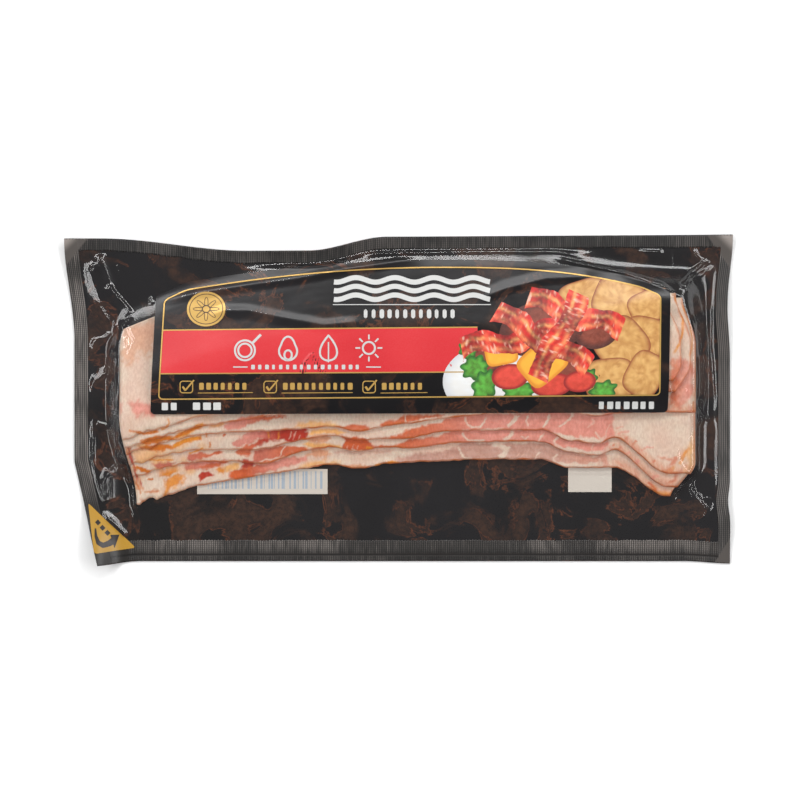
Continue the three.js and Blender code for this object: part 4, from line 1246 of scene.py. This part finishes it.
def painted(x, y, share, layer, middle, rim, rim_share, seed, strength, size):
    """A shape's mesh and tints: one colour in the middle, another at the rim, and a mottled shade that is
    warmer where it is darker."""
    colour = np.broadcast_to(linear(middle), x.shape + (3,))
    colour = blend(colour, linear(rim), ramp(1 - 2 * rim_share, 1 - 0.5 * rim_share, share))
    shade = 1 + strength * mottle(x, y, size, seed) + 0.5 * strength * mottle(x, y, size / 2.5, seed + 1)
    colour = np.clip(colour * shade[..., None] ** PRINT_SHADE_POWERS, 0, 1)
    return grid(on_film(x, y, layer)), colour.reshape(-1, 3)


def waved_rasher(x0, y0, x1, y1, width, waves, height, layer, seed):
    """A fried rasher: a band along a waving line, striped red and cream across, dark in its hollows."""
    s, t = np.meshgrid(np.linspace(0, 1, 90), np.linspace(-0.5, 0.5, 15))
    run = np.array([x1 - x0, y1 - y0])
    length = np.hypot(*run)
    side = np.array([-run[1], run[0]]) / length
    sway = height * np.sin(2 * np.pi * waves * s)
    swell = width * (1 + 0.12 * np.cos(4 * np.pi * waves * s + 1))
    x = x0 + run[0] * s + side[0] * (sway + t * swell) + 0.25 * mottle(s * length, t, 1.3, seed)
    y = y0 + run[1] * s + side[1] * (sway + t * swell) + 0.25 * mottle(s * length, t, 1.3, seed + 2)
    lane = t + 0.07 * mottle(s * length, 3 * t, 2.4, seed + 3)
    colour = np.broadcast_to(linear((200, 28, 24)), x.shape + (3,))
    colour = blend(colour, linear((240, 160, 98)), np.exp(-((lane - 0.16) / 0.085) ** 2))
    colour = blend(colour, linear((236, 132, 84)), np.exp(-((lane + 0.3) / 0.11) ** 2))
    bright = 0.8 * smooth(1.6 * mottle(s * length, 4 * t, 1.6, seed + 4))
    colour = blend(colour, linear((226, 84, 58)), bright)
    shade = 0.82 + 0.36 * np.cos(2 * np.pi * waves * s * 2 + 0.8) + 0.3 * mottle(x, y, 0.9, seed + 5)
    colour = np.clip(colour * np.clip(shade, 0.3, 1.4)[..., None], 0, 1)
    gleam = smooth(2.2 * mottle(2 * s * length, 6 * t, 1.5, seed + 6) - 0.9)
    colour = blend(colour, linear((250, 214, 190)), 0.7 * gleam * ramp(0.3, 0.9, shade))
    return grid(on_film(x, y, layer)[::-1]), colour[::-1].reshape(-1, 3)


def inside_frame(parts):
    """The picture's parts with every point kept inside the gold frame, under the black border."""
    kept = []
    for (points, faces), tints in parts:
        x = np.clip(points[:, 0], FRAME["left"], FRAME["right"] + 1.5)
        y = np.clip(points[:, 1], 0.6, arch(x) + 1.5)
        layer = points[:, 2] - film_top(points[:, 0], points[:, 1])
        kept.append(((np.stack([x, y, film_top(x, y) + layer], axis=-1), faces), tints))
    return kept


# The dish from the plate up: the first layer and the step to the next, the colours in the middle and at the
# rim, the rim's share, the first seed, the shade's strength and size, the outline's form, and the places
PLATE = (2.2, 0, (232, 232, 230), (206, 206, 208), 0.08, 300, 0.05, 1.6, {}, ((44, 8, 25, 17, 0),))
TOASTS = (2.3, 0.2, (208, 156, 88), (142, 62, 24), 0.07, 310, 0.3, 1.6, {"power": 3.4}, (
    (80, 45, 11, 7, 0.3), (95, 43, 11, 10, -0.4), (107, 40, 8, 7, 0.4), (106, 27, 9, 9, -0.2),
    (96, 24, 11, 11, 0.7), (91, 9, 11, 9, 0.1), (106, 11, 8, 10, -0.5),
))
LEAVES = (3.7, 0.1, (86, 160, 50), (40, 106, 30), 0.2, 330, 0.4, 1.3, {"lobes": 7, "depth": 0.14}, (
    (33, 14, 6, 5, 0.3), (37, 6, 7, 5, 1.2), (52, 3.5, 7, 4, 0.1), (88, 4, 6, 4, 0.4), (81, 9, 5, 4, 0.9),
    (30, 22, 4, 4, 0),
))
TOMATOES = (4.4, 0.15, (216, 66, 48), (150, 24, 22), 0.14, 350, 0.22, 1.6, {}, (
    (48, 10, 8, 5.5, 0.1), (66, 6.5, 9, 5.2, 0.1), (78, 8, 7, 4.6, 0.1),
))
CHEESE = (4.9, 0.15, (246, 178, 52), (222, 138, 30), 0.1, 360, 0.08, 3, {"power": 5}, (
    (62, 16, 10, 8, 0.7), (44, 21, 7, 6, 0.2),
))
PATTIES = (3.2, 0.1, (132, 58, 38), (84, 34, 24), 0.2, 365, 0.4, 1.1, {}, (
    (70, 12, 17, 7.5, -0.1), (38, 17.5, 8, 6.5, 0.3), (85, 30, 10, 8, 0.2), (62, 31, 19, 12, 0.25),
))

picture = []
for food in (PLATE, TOASTS, LEAVES, TOMATOES, CHEESE, PATTIES):
    first_layer, step, middle, rim, rim_share, seed, strength, size, form, places = food
    for n, place in enumerate(places):
        layer = first_layer + step * n
        outline = shape(*place, **form)
        picture.append(painted(*outline, layer, middle, rim, rim_share, seed + n, strength, size))
rashers = (
    (27, 22, 70, 30, 9, 1.5, 2.0, 5.3), (42, 38, 82, 14, 9.5, 1.5, 1.8, 5.6),
    (56, 44, 96, 30, 9.5, 1.5, 2.0, 5.9), (60, 9, 78, 46, 9.0, 1.0, 1.4, 6.2),
)
for n, rasher in enumerate(rashers):
    picture.append(waved_rasher(*rasher, 370 + 7 * n))
picture = inside_frame(picture)
picture_tints = np.concatenate([tints for _, tints in picture])
make("label_picture", join([mesh for mesh, _ in picture]), colour_ink, picture_tints)


# Prints on the back film
# Two white patches that show from inside beside the rashers, one crossed by pale blue bars of uneven width,
# and the yellow tear mark at the lower left corner with its curved dark arrow.
def on_back(x, y, layer):
    """Points on the back film's upper side, raised by so many layers of print."""
    return np.stack([x, y, lift(x, y) + BACK_FILM + layer * 0.03], axis=-1)


def back_patch(left, right, foot, top, layer, columns=40, rows=20):
    """A rectangle of ink on the back film."""
    x, y = np.meshgrid(np.linspace(left, right, columns), np.linspace(foot, top, rows))
    return grid(on_back(x, y, layer))


patch_ink = ink_finish("patch_white", plain=(209, 200, 190), speckle=0.0)
white = [back_patch(-87.6, -30.9, -40.9, -30, 1), back_patch(73.7, 92.6, -40.0, -26, 1)]
make("white_patches", join(white), patch_ink)
stripe_places = -83.5 + np.cumsum(np.random.default_rng(12).uniform(0.35, 1.25, 60))[::2]
stripes = [
    back_patch(left, left + 0.3 + 0.35 * (n % 3), -38.6, -31, 2, 3, 4)
    for n, left in enumerate(stripe_places) if left < -34
]
blue_ink = ink_finish("patch_blue", plain=(164, 176, 190), speckle=0.0)
make("blue_bars", join(stripes), blue_ink)


def over_all(x, y, layer):
    """Points over both the front film and the seals, for print that crosses from one to the other."""
    height = np.maximum(film_top(x, y), lift(x, y) + 0.42)
    return np.stack([x, y, height + layer * 0.05], axis=-1)


def rounded_triangle(corners, rounding, count=14):
    """A triangle whose corners are arcs: each corner is replaced by a curve between two points near it."""
    points = []
    for n in range(3):
        before, here, after = (np.array(corners[(n + k) % 3], float) for k in (-1, 0, 1))
        start = here + (before - here) / np.linalg.norm(before - here) * rounding
        along = (after - here) / np.linalg.norm(after - here) * rounding
        end = here + along
        t = np.linspace(0, 1, count)[:, None]
        points.append((1 - t) ** 2 * start + 2 * t * (1 - t) * here + t ** 2 * end)
        points.append(end + (after - along - end) * np.linspace(0, 1, 24)[1:-1, None])
    path = np.concatenate(points)
    return path[:, 0], path[:, 1]


TEAR_CORNERS = ((-134.9, -44.6), (-131.7, -66.6), (-114.2, -64.2))
TEAR_MIDDLE = (-127.6, -59.0)
path_x, path_y = rounded_triangle(TEAR_CORNERS, 1.6)
share = np.linspace(0, 1, 15)[:, None]
x = TEAR_MIDDLE[0] + share * (np.append(path_x, path_x[0]) - TEAR_MIDDLE[0])
y = TEAR_MIDDLE[1] + share * (np.append(path_y, path_y[0]) - TEAR_MIDDLE[1])
yellow_ink = ink_finish("tear_yellow", plain=(178, 134, 32), speckle=0.04)
make("tear_mark", grid(over_all(x, y, 1)[::-1]), yellow_ink)

# The arrow's middle line and half width from its tail to its head, then three plain marks above it
line_t = np.linspace(0, 1, 41)
knots = np.linspace(0, 1, 6)
arrow_x = np.interp(line_t, knots, (-131.4, -131.1, -130.0, -127.9, -125.6, -123.6))
arrow_y = np.interp(line_t, knots, (-55.6, -58.9, -61.8, -63.0, -62.2, -61.0))
half = np.interp(line_t, knots, (0.3, 0.6, 0.9, 1.1, 1.3, 1.5)) * np.linspace(1, -1, 5)[:, None]
slope_x = np.gradient(arrow_x)
slope_y = np.gradient(arrow_y)
length = np.hypot(slope_x, slope_y)
arrow = [grid(over_all(arrow_x - half * slope_y / length, arrow_y + half * slope_x / length, 2)[::-1])]
s, t = np.meshgrid(np.linspace(0, 1, 8), np.linspace(-1, 1, 9))
head_x = -124.2 + 2.9 * s + 0.9 * t * (1 - s)
head_y = -61.4 + 2.9 * s - 2.9 * t * (1 - s)
arrow.append(grid(over_all(head_x, head_y, 2)[::-1]))
s, t = np.meshgrid(np.linspace(-1, 1, 4), np.linspace(-1, 1, 4))
for cx, cy in ((-130.4, -53.1), (-128.4, -55.4), (-126.3, -57.6)):
    arrow.append(grid(over_all(cx + 0.65 * s + 0.6 * t, cy - 0.7 * s + 0.6 * t, 2)))
dark_arrow_ink = ink_finish("tear_dark", plain=(46, 40, 38), speckle=0.0)
make("tear_arrow", join(arrow), dark_arrow_ink)


# Heat seals
# The border where both films are pressed together by ribbed jaws: fine ribs stand across it at the top and
# foot, and along it at the sides. The top and foot edges are cut with zig-zag knives.
RIB_PITCH = 0.8
RIB_HEIGHT = 0.14
GRAIN_PITCH = 0.9
TOOTH_PITCH = 1.4
TOOTH_DEPTH = 0.45
SEAL_BLACK = (12, 11, 11)
SEAL_GREY_AND_HIGHLIGHT = (158, 149, 143)
GROOVE_BLACK = (24, 22, 22)
UNDERSIDE_BLACK = (36, 33, 33)


def tooth(x):
    """A zig-zag from 0 to 1 along the edge."""
    return np.abs((x / TOOTH_PITCH) % 1 - 0.5) * 2


def corner_flats(x, y):
    """1 on the unribbed triangles at three corners, and under the tear mark."""
    flat = ramp(12.0, 11.0, (x + 145.5) + 0.8 * (71.5 - y))
    flat = np.maximum(flat, ramp(13.5, 12.5, (145.5 - x) * 1.15 + 0.8 * (71.5 - y)))
    flat = np.maximum(flat, ramp(9.4, 8.6, (145.5 - x) + 0.62 * (y + 72)))
    return np.maximum(flat, ramp(-116, -119, x) * ramp(-40, -50, y))


def wave(distance, pitch):
    """A wave from 0 to 1 of that pitch."""
    return 0.5 + 0.5 * np.cos(2 * np.pi * distance / pitch)


def seal_layers(x, y, ribs, grain, plain, greyed=1.0):
    """The seal's top points and tints: ribs that fade on plain places, crossed by the jaw's fine grain,
    lighter on their crests by the share to which the pressed print has gone grey, and by a painted highlight
    there."""
    pressed = 1 - plain
    height = lift(x, y) + 0.28 + RIB_HEIGHT * pressed * wave(ribs, RIB_PITCH)
    # The crests' lightness is partly pressed print gone grey and partly a painted highlight
    crest = wave(ribs, RIB_PITCH) ** 1.5 * (0.45 + 0.55 * wave(grain, GRAIN_PITCH))
    corner = ramp(-104, -116, x) * ramp(-34, -46, y)
    tip = ramp(9, 3, 145.5 - abs(x) + 71.5 - y)
    uneven = 0.6 * mottle(x, y, 13, 21) + 0.45 * mottle(ribs, 0.15 * grain, 0.8, 22)
    worn = smooth(0.45 + uneven) * (1 - 0.8 * corner)
    worn = worn * (1 - 0.6 * ramp(134, 137, x) * ramp(62, 56, y))
    grey = pressed * crest * greyed * (0.25 + 0.75 * worn) + (0.25 - 0.2 * corner + 0.6 * tip) * plain
    black = np.broadcast_to(linear(SEAL_BLACK), x.shape + (3,))
    return np.stack([x, y, height], axis=-1), blend(black, linear(SEAL_GREY_AND_HIGHLIGHT), grey)


def seal_body(points, tint):
    """A seal's mesh between its top and the back film, with tints for both sides."""
    under = points.copy()
    under[..., 2] = lift(points[..., 0], points[..., 1]) + 0.02
    black = np.broadcast_to(linear(UNDERSIDE_BLACK), tint.shape)
    return shell(points, under), np.concatenate([tint.reshape(-1, 3), black.reshape(-1, 3)])


def cross_seal(upper):
    """The seal along the top or foot: columns across the ribs and rows from the cut edge inwards."""
    width = SEAL_WIDTHS["top"] if upper else SEAL_WIDTHS["bottom"]
    xs = np.arange(-145.4, 145.41, 0.2)
    s = np.linspace(0, 1, 16 if upper else 28)[:, None]
    x = xs + 0 * s
    cut = top_side(x) if upper else bottom_side(x)
    inward = -1 if upper else 1
    edge = cut + inward * TOOTH_DEPTH * tooth(x)
    y = edge + inward * s * (width + 0.25 * mottle(x, 0 * x, 4, 20))
    x = np.clip(x, left_side(y), right_side(y))
    depth = np.abs(y - cut)
    groove = 0 * x if upper else bump(depth, 2.8, 0.5)
    greyed = 0.42 if upper else 0.42 + 0.53 * ramp(3.2, 7, depth)
    points, tint = seal_layers(x, y, x, depth, np.maximum(corner_flats(x, y), groove), greyed)
    points[..., 2] -= 0.12 * groove
    tint = blend(tint, linear(GROOVE_BLACK), groove)
    rows = slice(None, None, -1) if upper else slice(None)
    return seal_body(points[rows], tint[rows])


def side_seal(right):
    """The seal along a side: columns across the pressed band and rows up the pack."""
    width = SEAL_WIDTHS["right"] if right else SEAL_WIDTHS["left"]
    ys = np.linspace(-HALF_DEPTH - 0.9, HALF_DEPTH - 0.2, 560)[:, None]
    s = np.linspace(0, 1, 34)
    edge = right_side(ys) if right else left_side(ys)
    across = s * width
    x = edge - across[::-1] if right else edge + across
    y = ys + 0 * x
    y = np.clip(y, bottom_side(x) + TOOTH_DEPTH, top_side(x) - TOOTH_DEPTH)
    points, tint = seal_layers(x, y, x - edge, y, corner_flats(x, y))
    points[..., 2] += 0.02
    return seal_body(points, tint)


def seal_finish():
    """Pressed film: the tint of its ribs, with a broken gloss."""
    shader = Shader("heat_seal")
    patchy = shader.noise(45, 4)
    tint = shader.add("ShaderNodeVertexColor", {"layer_name": "tint"})
    return shader.finish(shader.surface({"Base Color": tint, "Roughness": patchy * 0.2 + 0.25}))


seal_film = seal_finish()
for name, (mesh_parts, tints) in (
    ("seal_top", cross_seal(True)), ("seal_foot", cross_seal(False)),
    ("seal_left", side_seal(False)), ("seal_right", side_seal(True)),
):
    make(name, mesh_parts, seal_film, tints)


# Studio
# A plain pale table, soft boxes on the four sides of the pack, the near one low, and a camera that looks
# straight down, far enough away for the pack to fill five sixths of the picture's width.
CAMERA_HEIGHT = 1.25
VIEW_WIDTH = 0.3478


def studio_floor():
    """A wide pale table with a barely grained matt surface."""
    shader = Shader("table")
    colour = shader.mix(shader.noise(30, 3), (250, 250, 250), (255, 255, 255))
    material = shader.finish(shader.surface({"Base Color": colour, "Roughness": 0.8}))
    side = np.linspace(-1.5, 1.5, 9)
    x, y = np.meshgrid(side, side)
    vertices, faces = grid(np.stack([x, y, 0 * x - 0.0004], axis=-1))
    mesh = bpy.data.meshes.new("table")
    mesh.from_pydata(vertices.tolist(), [], faces.tolist())
    mesh.materials.append(material)
    table = bpy.data.objects.new("table", mesh)
    bpy.context.scene.collection.objects.link(table)


def soft_box(name, place, size, power, mirrored=True):
    """A rectangular lamp that faces the pack's middle; one that isn't mirrored only fills the shadows."""
    lamp = bpy.data.lights.new(name, "AREA")
    lamp.shape = "RECTANGLE"
    lamp.size = size[0]
    lamp.size_y = size[1]
    lamp.energy = power
    box = bpy.data.objects.new(name, lamp)
    box.location = place
    box.visible_glossy = mirrored
    box.rotation_euler = box.location.to_track_quat("Z", "Y").to_euler()
    bpy.context.scene.collection.objects.link(box)


studio_floor()
soft_box("far_box", (0.0, 1.25, 1.0), (2.4, 0.36), 19)
soft_box("left_box", (-1.05, 0.2, 0.95), (1.7, 0.42), 11)
soft_box("right_box", (1.05, 0.2, 0.95), (1.7, 0.42), 11)
soft_box("near_box", (0.0, -1.75, 0.5), (2.6, 0.3), 12, mirrored=False)

world = bpy.data.worlds.new("studio")
world.use_nodes = True
world.node_tree.nodes["Background"].inputs["Color"].default_value = (1, 1, 1, 1)
world.node_tree.nodes["Background"].inputs["Strength"].default_value = 0.18
bpy.context.scene.world = world
bpy.context.scene.view_settings.view_transform = "Standard"

camera_data = bpy.data.cameras.new("camera")
camera_data.sensor_width = 36
camera_data.lens = 36 * CAMERA_HEIGHT / VIEW_WIDTH
camera = bpy.data.objects.new("camera", camera_data)
camera.location = (0.0006, 0, CAMERA_HEIGHT)
bpy.context.scene.collection.objects.link(camera)
bpy.context.scene.camera = camera
